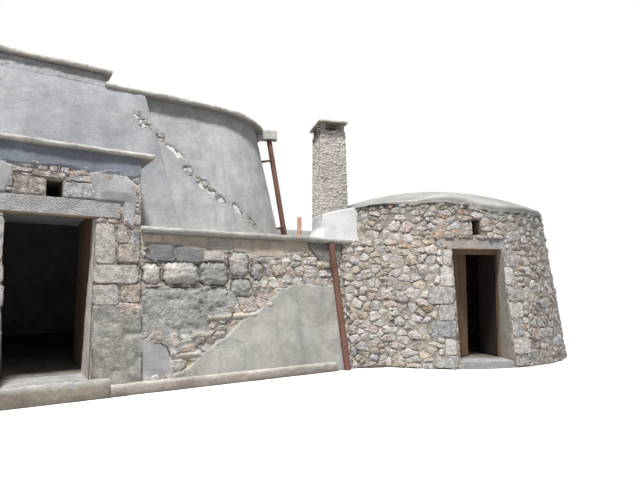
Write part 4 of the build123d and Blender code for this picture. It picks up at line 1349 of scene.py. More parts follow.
# Round hut: rubble all round, with squared jamb blocks beside its doorway

HUT_DOOR = doorway(0.435, 0.425, HUT_DOOR_HEAD)
HUT_LINTEL = box_region(-0.505, 0.505, HUT_DOOR_HEAD, HUT_DOOR_HEAD + 0.155)
HUT_VENT = box_region(-0.08, 0.08, 1.98, 2.22)
# The hut's wall outside the terrace, along it from the middle of the doorway, seen up to HUT_NEAR
HUT_LEFT = HUT_ROUND * math.radians(-76)
HUT_NEAR = HUT_ROUND * math.radians(95)
HUT_RIGHT = HUT_ROUND * math.radians(234)
HUT_STONES_HEAD = 2.54
# Side of the doorway, foot, head and length of each block, its colour and how far it stands out
HUT_JAMBS = (
    (-1, 1.52, 1.75, 0.14, WHITE_STONE, 0.020),
    (-1, 1.20, 1.50, 0.19, WHITE_STONE, 0.022),
    (-1, 0.94, 1.19, 0.37, GREY_STONE, 0.024),
    (-1, 0.70, 0.92, 0.24, GREY_STONE, 0.022),
    (-1, 0.45, 0.69, 0.35, SLATE_STONE, 0.024),
    (-1, 0.20, 0.43, 0.17, WHITE_STONE, 0.020),
    (-1, 0.02, 0.19, 0.30, GREY_STONE, 0.020),
    (1, 1.50, 1.76, 0.30, GREY_STONE, 0.020),
    (1, 1.22, 1.48, 0.16, WHITE_STONE, 0.026),
    (1, 0.98, 1.20, 0.30, GREY_STONE, 0.022),
    (1, 0.72, 0.96, 0.26, WHITE_STONE, 0.024),
    (1, 0.44, 0.70, 0.22, GREY_STONE, 0.022),
    (1, 0.20, 0.42, 0.30, WHITE_STONE, 0.022),
    (1, 0.02, 0.18, 0.22, GREY_STONE, 0.020),
)
# Levels at which the cap's plaster ends, by bearing
LIP_TURNS = np.radians([-180, -100, -76, -58, -40, -30, -22, -14, 0, 180])
LIP_LEVELS = (2.40, 2.42, 2.475, 2.488, 2.500, 2.474, 2.403, 2.365, 2.385, 2.40)


def hut_lip(turn):
    """Level at which the cap's plaster ends on the wall's stones."""
    turn = (np.asarray(turn) + math.pi) % (2 * math.pi) - math.pi
    return np.interp(turn, LIP_TURNS, LIP_LEVELS)


def hut_stones():
    """Rubble in courses, finer where it is seen, with painted shade on the side turned from the light and
    under the lip.
    """
    rng = np.random.default_rng(37)
    front = Stones(hut_face, rng, 0.030)
    jambs = []
    for side, foot, head, length, colour, rise in HUT_JAMBS:
        near, far = side * 0.438, side * (0.438 + length)
        outline = block((min(near, far), max(near, far), foot, head), rng, 0.006)
        jambs.append(outline)
        front.add(outline, np.array(colour) * rng.uniform(0.9, 1.1), rise, crisp=True)
    kinds = ((WHITE_STONE, 8), (PINK_STONE, 5.0), (TAN_STONE, 1.6), (GREY_STONE, 0.7), (RUST_STONE, 0.25))
    for name, wall, left, right in (
        ("hut_front_stones", front, HUT_LEFT, HUT_NEAR),
        ("hut_back_stones", Stones(hut_face, rng, 0.060), HUT_NEAR, HUT_RIGHT),
    ):
        middles = courses(rng, left, right, 0.012, HUT_STONES_HEAD, 0.125, 0.185, 0.030)
        region = box_region(left, right, 0.012, HUT_STONES_HEAD)
        openings = [HUT_DOOR, HUT_LINTEL, HUT_VENT, *jambs]
        for outline in lay(region, middles, 0.008, rng, 1.45, 0.085, openings):
            across, up = np.mean(outline, 0)
            turn = across / HUT_ROUND + HUT_TURN
            outline = clip(outline, (0.0, 1.0), float(hut_lip(turn)) + 0.02)
            if area(outline) > 0.0008:
                # Painted shade: stones darken and turn greyer on the side turned from the light, and towards
                # the lip
                painted_side_shade = float(ease(turn, -0.35, 0.1) * (1 - ease(across, 4.0, 6.0)))
                painted_lip_shade = 1 - 0.34 * float(ease(up, 1.95, 2.35))
                tone = stone_colour(rng, kinds) * (1 - painted_side_shade * np.array([0.24, 0.21, 0.17])) * painted_lip_shade
                wall.add(outline, tone * rng.uniform(0.72, 1.20), 0.028)
        wall.build(name, rubble_stone, "rubble_stone")


hut_stones()


def hut_mortar():
    """Crumbling lime mortar that fills the hut's joints unevenly, with holes between painted dark as shade.
    """
    across, up = grid(HUT_LEFT, HUT_RIGHT, 0.0, HUT_RIM_LEVEL, 0.032)
    level, tone = filling(across, up, 0.085, 86)
    room = HUT_FOOT - 0.001 - hut_radius(up)
    void = inside_any((HUT_DOOR, HUT_LINTEL, HUT_VENT), across, up)
    hidden = (void > -0.03) | (up > hut_lip(across / HUT_ROUND + HUT_TURN) + 0.01) | (room < 0.003)
    # Painted shade: the mortar darkens towards the lip, like the stones
    tone = tone * (1 - 0.35 * ease(up, 1.95, 2.35))[..., None]
    out = np.where(hidden, -0.01, np.minimum(level, room))
    coat("hut_mortar", hut_face, across, up, out, tone, 0.7)


hut_mortar()

# The brow over the wall's front: levels of its top from left to right
BROW = (
    (-1.5, 2.470), (-1.2, 2.505), (-0.9, 2.528), (-0.64, 2.536), (-0.39, 2.552), (-0.20, 2.592),
    (-0.04, 2.617), (0.08, 2.620), (0.20, 2.612), (0.34, 2.588), (0.46, 2.560), (0.60, 2.515), (0.76, 2.465),
)


def hut_cap_plaster():
    """Old plaster over the dome, with a thick uneven lip over the wall and a brow in front."""
    turns = np.linspace(-math.pi, math.pi, 300, endpoint=False)
    stretches = ((0.0, 0.9, 28), (0.92, 1.0, 6), (1.01, 1.08, 8))
    shares = np.concatenate([np.linspace(*stretch) for stretch in stretches])
    turn, share = np.meshgrid(turns, shares)
    rise = HUT_DOME_TOP - HUT_RIM_LEVEL
    ball = (HUT_RIM**2 + rise**2) / (2 * rise)
    radius = np.minimum(share, 1.0) * HUT_RIM
    level = HUT_DOME_TOP - ball + np.sqrt(ball**2 - radius**2)
    beside = radius * np.sin(turn - BROW_TURN)
    ahead = radius * np.cos(turn - BROW_TURN)
    brow = np.interp(beside, *zip(*BROW), left=0.0, right=0.0) - 0.5 * (1 - ease(ahead, 0.95, 1.05))
    soft = 0.03
    apart = np.abs(level - brow)
    higher = np.maximum(level, brow)
    level = np.where(apart < soft, higher + (soft - apart) ** 2 / (4 * soft), higher)
    east, north = radius * np.sin(turn), -radius * np.cos(turn)
    wave = weathered(east + 9, north + 9, 0.9, 81)
    fine = weathered(east + 9, north + 9, 0.2, 82)
    near = ripple(turn * HUT_HEAD, turn * 0, 0.35, 83)
    close = ripple(turn * HUT_HEAD, turn * 0, 0.12, 84)
    drop = np.clip((share - 1.0) / 0.08, 0, 1)
    top = level + 0.007 + 0.004 * wave + 0.003 * fine
    low = hut_lip(turn) + 0.018 * near + 0.012 * close
    bulge = (0.062 + 0.014 * near + 0.008 * close) * np.sin(np.clip(drop * 1.35, 0, 1) * math.pi * 0.62)
    level = np.where(share > 1.0, top * (1 - drop**1.25) + low * drop**1.25, top)
    radius = np.where(share > 1.0, HUT_RIM + bulge + 0.005 * fine, radius)
    points = stack(HUT_CENTRE[0] + radius * np.sin(turn), HUT_CENTRE[1] - radius * np.cos(turn), level)
    tone = over(even(turn, (0.24, 0.237, 0.23)), (0.30, 0.295, 0.285), ease(share, 0.97, 1.02))
    marks = coat_marks(tone * (1 + 0.10 * wave[..., None]), 0.25)
    count = len(turns)
    faces = net(*turn.shape, True)[count:] + [(0, count + (j + 1) % count, count + j) for j in range(count)]
    points, faces, used = trimmed(points.reshape(-1, 3), [tuple(reversed(face)) for face in faces])
    piece("hut_cap_plaster", points, faces, lime_render, marks=marks[used], layer="coat")


hut_cap_plaster()

# House: a thick old render with gentle waves, broken along a diagonal scar

BAY_SCARS = (((1.17, 3.64), (0.09, 0.045)), ((1.24, 3.56), (0.11, 0.075)))
SCARS = (
    ((1.38, 3.51), (0.05, 0.04)), ((1.45, 3.455), (0.12, 0.050)), ((1.53, 3.40), (0.07, 0.035)),
    ((1.66, 3.26), (0.13, 0.055)), ((1.76, 3.16), (0.09, 0.060)), ((1.89, 2.95), (0.085, 0.060)),
    ((2.13, 2.735), (0.12, 0.085)), ((2.22, 2.66), (0.06, 0.05)), ((2.35, 2.575), (0.16, 0.045)),
    ((2.48, 2.53), (0.08, 0.035)), ((2.81, 2.40), (0.11, 0.055)), ((2.90, 2.32), (0.07, 0.05)),
    ((3.17, 2.22), (0.15, 0.045)),
)
SCAR_TURN = -0.70
BROKEN_EDGE = (0.30, 0.285, 0.26)
# Depth into a broken patch from which the render is gone, how far round the fine render runs, and
# how far the bay's stretch of each random field lies from the house's
BARE = 0.012
FINE_RENDER_END = 7.0
BAY_SHIFT = 30
SCAR_LINE = (
    (1.14, 3.71), (1.40, 3.49), (1.72, 3.21), (1.96, 2.87), (2.06, 2.76), (2.3, 2.59), (2.75, 2.43),
    (3.06, 2.26), (3.4, 2.13),
)
WALL_STAINS = (((2.33, 2.98), (0.05, 0.24)), ((2.02, 2.80), (0.07, 0.17)), ((2.56, 3.02), (0.04, 0.20)))


def scar_line(across, up):
    """Distance from the thin crack that joins the broken patches."""
    parts = zip(SCAR_LINE, SCAR_LINE[1:])
    return np.min([off_line(here, there, across, up) for here, there in parts], axis=0)


def deepest_scar(scars, across, up):
    """Distance into the nearest broken patch."""
    return np.max([blob(across, up, at, half, SCAR_TURN) for at, half in scars], axis=0)


def lost_render(scars, across, up, line_drop=0.0):
    """Distance into the ragged patches and the crack where the render has come away."""
    ragged = 0.040 * weathered(across, up, 0.085, 97)
    crack = 0.004 - scar_line(across, up + line_drop) + 0.25 * ragged
    return np.maximum(deepest_scar(scars, across, up) + ragged, crack)


def house_tone(across, up, wave, own):
    """The old render's tone from its own: washed by rain, paler and warmer towards its foot, with painted
    light round the right-hand corner that turns from the light.
    """
    tone = over(even(across, own), (0.40, 0.395, 0.38), ease(3.0 - up + 0.3 * wave, 0.0, 1.1) * 0.7)
    # Painted light: the render round the right-hand corner is made paler, as that side turns from the light
    tone = over(tone, (0.45, 0.455, 0.47), ease(across, 3.3, 5.0) * (1 - ease(across, 9.0, 12.0)) * 0.8)
    drips = np.maximum(ripple(across, up * 0.16, 0.085, 95), 0)
    drips = drips * ease(ripple(across, up * 0.5, 0.8, 96), -0.3, 0.5)
    return over(tone, (0.30, 0.31, 0.33), np.clip(drips, 0, 1) * 0.55)


def house_coats():
    """The house's render in two stretches from bay to bay: a fine one in front, a coarse one behind."""
    for name, front, start, stop, step in (
        ("house_front_render", True, 0.0, FINE_RENDER_END, 0.026),
        ("house_rear_render", False, FINE_RENDER_END, 27.2, 0.075),
    ):
        levels = np.linspace(0.0, HOUSE_TOP, int(HOUSE_TOP / step) + 1)
        share = np.linspace(0.0, 1.0, int((stop - start) / step) + 1)
        bay_edge = BAY_HALF - HOUSE_BATTER * levels - 0.02
        left = bay_edge if front else np.full(len(levels), start)
        right = np.full(len(levels), stop) if front else HOUSE_LENGTH - bay_edge
        across = left[:, None] + share[None, :] * (right - left)[:, None]
        up = np.repeat(levels[:, None], len(share), 1)
        wave = weathered(across, up, 0.9, 91)
        fine = weathered(across, up, 0.16, 92)
        tone = house_tone(across, up, wave, (0.335, 0.345, 0.365))
        for at, half in WALL_STAINS:
            stained = ease(blob(across, up, at, half) + 0.02 * fine, -0.02, 0.05)
            tone = over(tone, (0.20, 0.205, 0.215), stained * 0.5)
        lost = lost_render(SCARS, across, up)
        out = 0.016 + 0.011 * wave + 0.004 * fine
        out = out + 0.003 * ease(lost, -0.030, -0.004) - 0.026 * ease(lost, -0.004, 0.010)
        tone = over(tone, BROKEN_EDGE, ease(lost, -0.030, 0.0) * 0.7)
        out = np.where((lost > BARE) & front, -0.01, np.maximum(out, 0.0))
        coat(name, house_face, across, up, out, tone, 0.08 + 0.8 * ease(lost, 0.0, 0.02))


def bay_coat():
    """The bay's cooler render, left out behind the porch."""
    share = np.linspace(-1.0, 1.0, 150)
    levels = np.linspace(0.0, HOUSE_TOP, 145)
    half = BAY_HALF - HOUSE_BATTER * levels + 0.125
    across = half[:, None] * share[None, :]
    up = np.repeat(levels[:, None], len(share), 1)
    wave = weathered(across + BAY_SHIFT, up, 0.9, 93)
    fine = weathered(across + BAY_SHIFT, up, 0.16, 94)
    lost = np.where(across < 0.9, -1.0, lost_render(BAY_SCARS, across, up, 0.04))
    out = 0.013 + 0.008 * wave + 0.003 * fine
    out = np.maximum(out + 0.006 * ease(lost, -0.030, -0.004) - 0.022 * ease(lost, -0.004, 0.006), 0.0)
    hidden = (np.abs(across) < PORCH_HALF - 0.04) & (up < PORCH_TOP - 0.04)
    out = np.where(hidden | (lost > BARE), -0.01, out)
    tone = house_tone(across + BAY_SHIFT, up, wave, (0.285, 0.297, 0.320))
    tone = over(tone, BROKEN_EDGE, ease(lost, -0.030, 0.0) * 0.7)
    coat("bay_render", bay_face, across, up, out, tone, 0.08 + 0.8 * ease(lost, 0.0, 0.02))


house_coats()
bay_coat()


def scar_stones():
    """Stones laid bare where the house's render has come away."""
    rng = np.random.default_rng(47)
    kinds = ((WHITE_STONE, 2), (GREY_STONE, 4), (TAN_STONE, 1.2))
    for name, place, scars, (left, right, foot, head) in (
        ("house_bare_stones", house_face, SCARS, (1.30, 3.42, 2.05, 3.62)),
        ("bay_bare_stones", bay_face, BAY_SCARS, (1.02, 1.34, 3.40, 3.80)),
    ):
        wall = Stones(place, rng, 0.020)
        middles = courses(rng, left, right, foot, head, 0.070, 0.095, 0.020)
        for outline in lay(box_region(left, right, foot, head), middles, 0.010, rng, 1.2, 0.08):
            bare = float(deepest_scar(scars, *np.mean(outline, 0)))
            if bare > -BARE and rng.uniform() < 0.55:
                wall.add(outline, stone_colour(rng, kinds) * 0.80, 0.019, seat=0.006)
        wall.build(name, rubble_stone, "rubble_stone")


scar_stones()

# Copings: runs of thin limewashed slabs with a chipped, toothed edge

TOP_WASH = np.array([0.50, 0.485, 0.46])
EDGE_STONE = np.array([0.45, 0.43, 0.395])
UNDER_STONE = np.array([0.27, 0.25, 0.22])
SLAB_STEP = 0.022
# Reach of the house's coping in from its wall and out over it, and the bearing of its spout
HOUSE_COPING_IN = -0.32
HOUSE_COPING_OUT = 0.16
SPOUT_BEARING = -25


def slab_run(
    name, place, start, stop, inner, outer, foot, head, seed, length=0.44, chip=0.020, tones=None, closes=()
):
    """A run of slabs along a wall's top: inner and outer are distances out from its face."""
    rng = np.random.default_rng(seed)
    top, edge, under = tones or (TOP_WASH, EDGE_STONE, UNDER_STONE)
    thick = head - foot
    shape = [
        (inner, 0.0, under), (outer - 0.16, 0.0, under), (outer - 0.07, 0.0, under),
        (outer - 0.022, 0.02, under), (outer - 0.006, 0.18, edge), (outer, 0.42, edge),
        (outer - 0.001, 0.66, edge), (outer - 0.008, 0.88, top), (outer - 0.028, 0.985, top),
        (outer - 0.075, 1.0, top), (outer - 0.16, 1.0, top), (inner, 1.0, top),
    ]
    outs = np.array([max(row[0], inner) for row in shape])
    rises = np.array([row[1] for row in shape])
    tints = np.array([row[2] for row in shape])
    along = np.linspace(start, stop, int(abs(stop - start) / SLAB_STEP) + 1)
    count = max(1, round(abs(stop - start) / length))
    cuts = np.linspace(start, stop, count + 1)[1:-1] + rng.uniform(-0.08, 0.08, count - 1)
    joint = np.zeros(len(along))
    for at in cuts:
        joint = np.maximum(joint, 1 - np.clip(np.abs(along - at) / 0.014, 0, 1))
    joint = joint[:, None]
    free = np.clip((outs - inner) / max(outer - inner, 1 / FAR), 0, 1) ** 3
    near, up = np.meshgrid(along, np.arange(len(shape)), indexing="ij")
    tooth = 0.55 * ripple(near, up * 0.03, 0.055, seed) + 0.45 * ripple(near, up * 0.05, 0.17, seed + 1)
    bite = ease(ripple(near, up * 0.0, 0.31, seed + 2), 0.25, 0.8)
    out = outs[None, :] - free[None, :] * (chip * (0.5 + 0.5 * tooth) + 0.55 * chip * bite + 0.006 * joint)
    sag = 0.10 * ripple(near, up * 0.0, 0.6, seed + 3) + 0.10 * ripple(near, up * 0.07, 0.07, seed + 4)
    level = foot + thick * rises[None, :] + min(thick, 0.06) * sag * (rises[None, :] > 0.5)
    level = np.clip(level - 0.006 * joint * (rises[None, :] > 0.9), foot, head)
    points = place(near, level, out).reshape(-1, 3)
    shade = 0.90 + 0.14 * ripple(near, up * 0.04, 0.4, seed + 5) + 0.10 * tooth
    shade = shade * (1 - 0.45 * joint * (rises[None, :] > 0.1))
    columns = len(shape)
    faces = net(len(along), columns, True)
    last = (len(along) - 1) * columns
    faces.append(tuple(reversed(range(columns))))
    faces.append(tuple(last + j for j in range(columns)))
    if np.cross(points[columns] - points[0], points[5] - points[0])[2] > 0:
        faces = [tuple(reversed(face)) for face in faces]
    marks = coat_marks(tints[None, :, :] * shade[..., None], 0.35)
    return piece(name, points, faces, lime_render, marks=marks, layer="coat", closes=closes)


def on_front(base):
    """Places along a straight front: across runs to the right, out comes forward."""
    return lambda across, up, out: stack(across, base - out, up)


def on_ring(across, up, out):
    """Places along the top of the house's wall, level all the way round."""
    point = house_face(across, HOUSE_TOP, out)
    return stack(point[..., 0], point[..., 1], up)


def copings():
    """Every run of slabs, from the porch's coping down to the lip of the threshold."""
    slab_run(
        "porch_coping_slabs", on_front(FRONT_BATTER * PORCH_TOP), -PORCH_HALF - 0.15, PORCH_HALF + 0.15,
        -0.80, 0.095, PORCH_TOP, PORCH_TOP + PORCH_COPING, 201, closes=("porch_coping",),
    )
    spout = HOUSE_CENTRES[0][0] + (SPOUT_BEARING + 90) / 90 * HOUSE_CORNER * math.pi / 2
    runs = ((PARAPET_HALF, spout - 0.16), (spout + 0.16, HOUSE_LENGTH - PARAPET_HALF))
    for (name, side), (start, stop) in zip((("short", "right"), ("long", "left")), runs):
        slab_run(
            f"house_coping_{name}_run", on_ring, start, stop, HOUSE_COPING_IN, HOUSE_COPING_OUT,
            HOUSE_TOP, HOUSE_TOP + COPING, 211, closes=(f"house_coping_{side}",),
        )
    bridge = Blocks(soft=0.008, wear=0.004, step=0.07)
    bridge.add([
        on_ring(across, up, out)
        for across in (spout - 0.17, spout + 0.17)
        for out in (HOUSE_COPING_IN, HOUSE_COPING_IN + 0.05)
        for up in (HOUSE_TOP, HOUSE_TOP + COPING - 0.004)
    ])
    bridge.build("house_coping_behind_spout", coping_stone, "coping_stone")
    slab_run(
        "parapet_coping_slabs", on_front(BAY_FRONT + HOUSE_BATTER * PARAPET_TOP),
        -PARAPET_HALF - 0.08, PARAPET_HALF + 0.08, -0.436, 0.08,
        PARAPET_TOP, PARAPET_TOP + COPING, 221, closes=("parapet_coping",),
    )
    slab_run(
        "terrace_coping_slabs", on_front(FRONT_BATTER * TERRACE_TOP), PORCH_HALF, COPING_END, -0.36, 0.09,
        TERRACE_TOP, TERRACE_TOP + COPING, 231, length=0.9, chip=0.014,
        tones=(TOP_WASH * 0.90, TOP_WASH * 0.80, UNDER_STONE * 1.1), closes=("terrace_coping",),
    )
    slab_run(
        "terrace_footing_ledge", on_front(0.0), 0.60, 3.62, 0.0, 0.08, 0.0, 0.13, 241, length=3.0, chip=0.022,
        tones=(np.array([0.46, 0.42, 0.385]), np.array([0.42, 0.37, 0.33]), UNDER_STONE),
        closes=("terrace_footing",),
    )
    slab_run(
        "threshold_lip", on_front(0.0), -0.60, 0.60, 0.0, 0.090, 0.0, 0.206, 251, length=3.0, chip=0.016,
        tones=(TOP_WASH * 0.75, np.array([0.31, 0.268, 0.22]), np.array([0.30, 0.26, 0.22])),
    )


copings()


def leaning_block(half, foot, head, fronts, backs):
    """Corners of a block whose front and back stand at other depths at its foot and its head."""
    return [
        (x, y, z)
        for x in (-half, half)
        for depths in (fronts, backs)
        for y, z in zip(depths, (foot, head))
    ]


def parapet_lintel_and_kerb():
    """Worn blocks: the parapet over the bay, the porch's lintel and the terrace's kerb."""
    parapet = Blocks(soft=0.014, wear=0.008, step=0.06)
    base, top = BAY_FRONT + HOUSE_BATTER * HOUSE_TOP, BAY_FRONT + HOUSE_BATTER * PARAPET_TOP
    back = base + PARAPET_THICK
    corners = leaning_block(PARAPET_HALF, HOUSE_TOP, PARAPET_TOP, (base, top), (back, back))
    parapet.add(corners, colour=(0.30, 0.315, 0.34))
    parapet.build("parapet_render", lime_render, "lime_render", layer="coat", closes=("parapet",))

    lintel = Blocks(soft=0.010, wear=0.009, step=0.035)
    fronts = [FRONT_BATTER * level - 0.018 for level in (DOORWAY_HEAD, LINTEL_HEAD)]
    backs = (LINTEL_BACK, LINTEL_BACK)
    lintel.add(leaning_block(LINTEL_HALF, DOORWAY_HEAD + 0.001, LINTEL_HEAD - 0.001, fronts, backs))
    lintel.build("porch_lintel_stone", dressed_stone, "dressed_stone", closes=("porch_lintel",))

    kerb = Blocks(soft=0.02, wear=0.016, step=0.08)
    low = (KERB_SPAN[0], TERRACE_REAR - KERB_THICK, TERRACE_FLOOR)
    kerb.box(low, (KERB_SPAN[1], TERRACE_REAR, TERRACE_FLOOR + KERB_HIGH), house_point)
    kerb.build("terrace_kerb_plaster", white_plaster, "white_plaster", closes=("terrace_kerb",))


parapet_lintel_and_kerb()

# Chimney: limewashed rubble, with thin posts under a slab


def chimney_face(around, up, out):
    """The chimney's four leaning sides as one band: a whole number of sides round it."""
    half_x, half_y = CHIMNEY_HALF
    side = (np.floor(around) % 4).astype(int)
    share = around - np.floor(around)
    spread = CHIMNEY_SPREAD * (CHIMNEY_TOP - up) / (CHIMNEY_TOP - TERRACE_FLOOR)
    left, right = -half_x - out, half_x + out + spread
    front, rear = -half_y - out, half_y + out
    x = np.choose(side, (left + share * (right - left), right, right - share * (right - left), left))
    y = np.choose(side, (front, front + share * (rear - front), rear, rear - share * (rear - front)))
    return chimney_point(x, y, up)


def chimney():
    """Limewash over rubble, darker at its head and painted lighter on its left side as if lit, with six posts
    and two slabs on top.
    """
    half_x, half_y = CHIMNEY_HALF
    sizes = (2 * half_x, 2 * half_y, 2 * half_x, 2 * half_y)
    ticks = [number + np.arange(n := round(size / 0.0135)) / n for number, size in enumerate(sizes)]
    levels = np.linspace(TERRACE_FLOOR + 0.05, CHIMNEY_TOP, 136)
    around, up = np.meshgrid(np.concatenate(ticks), levels)
    across = np.interp(around, np.arange(5), np.cumsum((0.0, *sizes)))
    relief, own = cobbles(across + 0.02 * ripple(across, up, 0.07, 306), up, 0.066, 301)
    wave = weathered(across, up, 0.3, 302)
    out = 0.004 + 0.010 * relief * (1 + 0.5 * own) + 0.003 * wave
    edge = np.minimum(around - np.floor(around), np.ceil(around + 1e-6) - around)
    out = out - 0.006 * (1 - ease(edge, 0.0, 0.05))
    shade = (0.96 + 0.12 * own) * (1 + 0.07 * wave)
    tone = np.array([0.455, 0.440, 0.415]) * shade[..., None]
    tone = over(tone, (0.34, 0.29, 0.225), (1 - relief) * 0.62)
    # Painted light: the left side is made 1.7 times lighter, as the side that faces the light
    tone = over(tone, tone * 1.7, ease(around, 2.9, 3.05))
    # The shaft grows darker towards its head
    dark_head = ease(up + 0.03 * wave, CHIMNEY_TOP - 0.15, CHIMNEY_TOP - 0.06)
    tone = over(tone, (0.085, 0.080, 0.078), dark_head * 0.85)
    coat("chimney_limewash", chimney_face, around, up, np.maximum(out, 0.001), tone, 0.55, loop=True)

    posts = Blocks(soft=0.012, wear=0.010, step=0.04)
    inset, half, head = 0.045, 0.043, CHIMNEY_TOP + CHIMNEY_POST_HIGH
    for side in (-1, 1):
        for row in (-1, 0, 1):
            x, y = side * (half_x - inset), row * (half_y - inset)
            posts.box((x - half, y - half, CHIMNEY_TOP), (x + half, y + half, head), chimney_point)
    posts.build("chimney_post_stones", dressed_stone, "dressed_stone", closes=("chimney_posts",))
    cap = Blocks(soft=0.012, wear=0.012, step=0.06)
    eave = 0.055
    for front, back in ((-half_y - eave, -0.06), (-0.055, half_y + eave)):
        low, high = (-half_x - eave, front, head), (half_x + eave, back, head + CHIMNEY_CAP_THICK)
        cap.box(low, high, chimney_point)
    cap.build("chimney_cap_slabs", coping_stone, "coping_stone", closes=("chimney_cap",))


chimney()

# The haunch's spread in front and to the left of the chimney at each level, the place between
# chimney and hut that its corners are rounded about, and the slope of its top
HAUNCH_LEVELS = (1.84, 1.98, 2.14, 2.52)
HAUNCH_FRONTS = (0.150, 0.115, 0.075, 0.012)
HAUNCH_LEFTS = (0.300, 0.120, 0.030, 0.012)
HAUNCH_MIDDLE = 0.16
HAUNCH_RIGHT = 0.36
HAUNCH_SQUARENESS = 0.28
HAUNCH_TOP = 2.50
HAUNCH_SLOPE = 0.257


def haunch():
    """White plaster that sweeps up from the terrace round the chimney to the hut's edge."""
    half_x, half_y = CHIMNEY_HALF
    columns, rows = 64, 22
    points = []
    for row in range(rows + 1):
        share = row / rows
        for angle in np.linspace(0, 2 * math.pi, columns, endpoint=False):
            c, s = math.cos(angle), math.sin(angle)
            z = TERRACE_FLOOR + share * 0.5
            for _ in range(3):
                front = np.interp(z, HAUNCH_LEVELS, HAUNCH_FRONTS)
                left = np.interp(z, HAUNCH_LEVELS, HAUNCH_LEFTS)
                reach = HAUNCH_MIDDLE + half_x + left if c < 0 else HAUNCH_RIGHT
                x = HAUNCH_MIDDLE + reach * abs(c) ** HAUNCH_SQUARENESS * np.sign(c)
                y = (half_y + front) * abs(s) ** HAUNCH_SQUARENESS * np.sign(s)
                crown = 2.378 + HAUNCH_SLOPE * (x + half_x) - 0.010
                z = TERRACE_FLOOR + share * (min(crown, HAUNCH_TOP) - TERRACE_FLOOR)
            wave = float(lumps(np.array([[x, y, z]]), 0.22, 7)[0]) * 0.006
            points.append(chimney_point(x * (1 + wave), y * (1 + wave), z))
    last = rows * columns
    points.append(np.mean(points[last:], axis=0))
    faces = net(rows + 1, columns, True)
    faces += [(last + j, last + (j + 1) % columns, last + columns) for j in range(columns)]
    piece("chimney_haunch_plaster", points, faces, white_plaster, closes=("chimney_haunch",))


haunch()

# Terrace top: beaten plaster between the house, the hut and the coping


def terrace_floor():
    """Gently uneven plaster, left out where the house and the hut stand."""
    across, up = grid(0.97, 5.2, 0.62, 2.44, 0.05)
    level = TERRACE_FLOOR + 0.010 + 0.006 * weathered(across, up, 0.5, 97)
    corner_x, corner_y = HOUSE_CENTRES[0]
    corner = HOUSE_CORNER - HOUSE_BATTER * TERRACE_FLOOR - 0.04
    in_house = np.hypot(across - corner_x, up - corner_y) < corner
    in_house |= (across < corner_x) & (up > HOUSE_FRONT + HOUSE_BATTER * TERRACE_FLOOR + 0.04)
    in_hut = np.hypot(across - HUT_CENTRE[0], up - HUT_CENTRE[1]) < hut_radius(TERRACE_FLOOR) - 0.04
    hidden = (in_house | in_hut).ravel().tolist()
    faces = [face for face in net(*across.shape) if not all(hidden[i] for i in face)]
    points, faces, _ = trimmed(stack(across, up, level).reshape(-1, 3), faces)
    piece("terrace_floor_plaster", points, faces, old_plaster)


terrace_floor()

# Doors: boards, battens and ironwork in place of the plain leaves

BOARD_THICK = 0.040
BATTEN_HIGH = 0.11
STRAP_HIGH = 0.040
STRAP_PART = 0.10


def tube(middle, outer, inner, low, high, place):
    """Points and faces of a short upright ring."""
    count = 16
    points, faces = [], []
    for ring, (radius, z) in enumerate(((outer, low), (outer, high), (inner, high), (inner, low))):
        for k in range(count):
            a = 2 * math.pi * k / count
            points.append(place(middle[0] + radius * math.cos(a), middle[1] + radius * math.sin(a), z))
            after, start, onward = (k + 1) % count, ring * count, (ring + 1) % 4 * count
            faces.append((start + k, start + after, onward + after, onward + k))
    return points, faces


def stud(middle, facing, radius, height, place, count=8):
    """A rounded nail head on a leaf's face; facing is +1 or -1 along the leaf's depth."""
    points, faces = [], []
    for share, lift in ((1.0, 0.0), (0.85, 0.6), (0.45, 1.0)):
        for k in range(count):
            a = 2 * math.pi * k / count * facing
            x, z = middle[0] + radius * share * math.cos(a), middle[2] + radius * share * math.sin(a)
            points.append(place(x, middle[1] + facing * height * lift, z))
    faces = [(a, d, c, b) for a, b, c, d in net(3, count, True)]
    faces.append(tuple(2 * count + k for k in range(count)))
    return points, faces


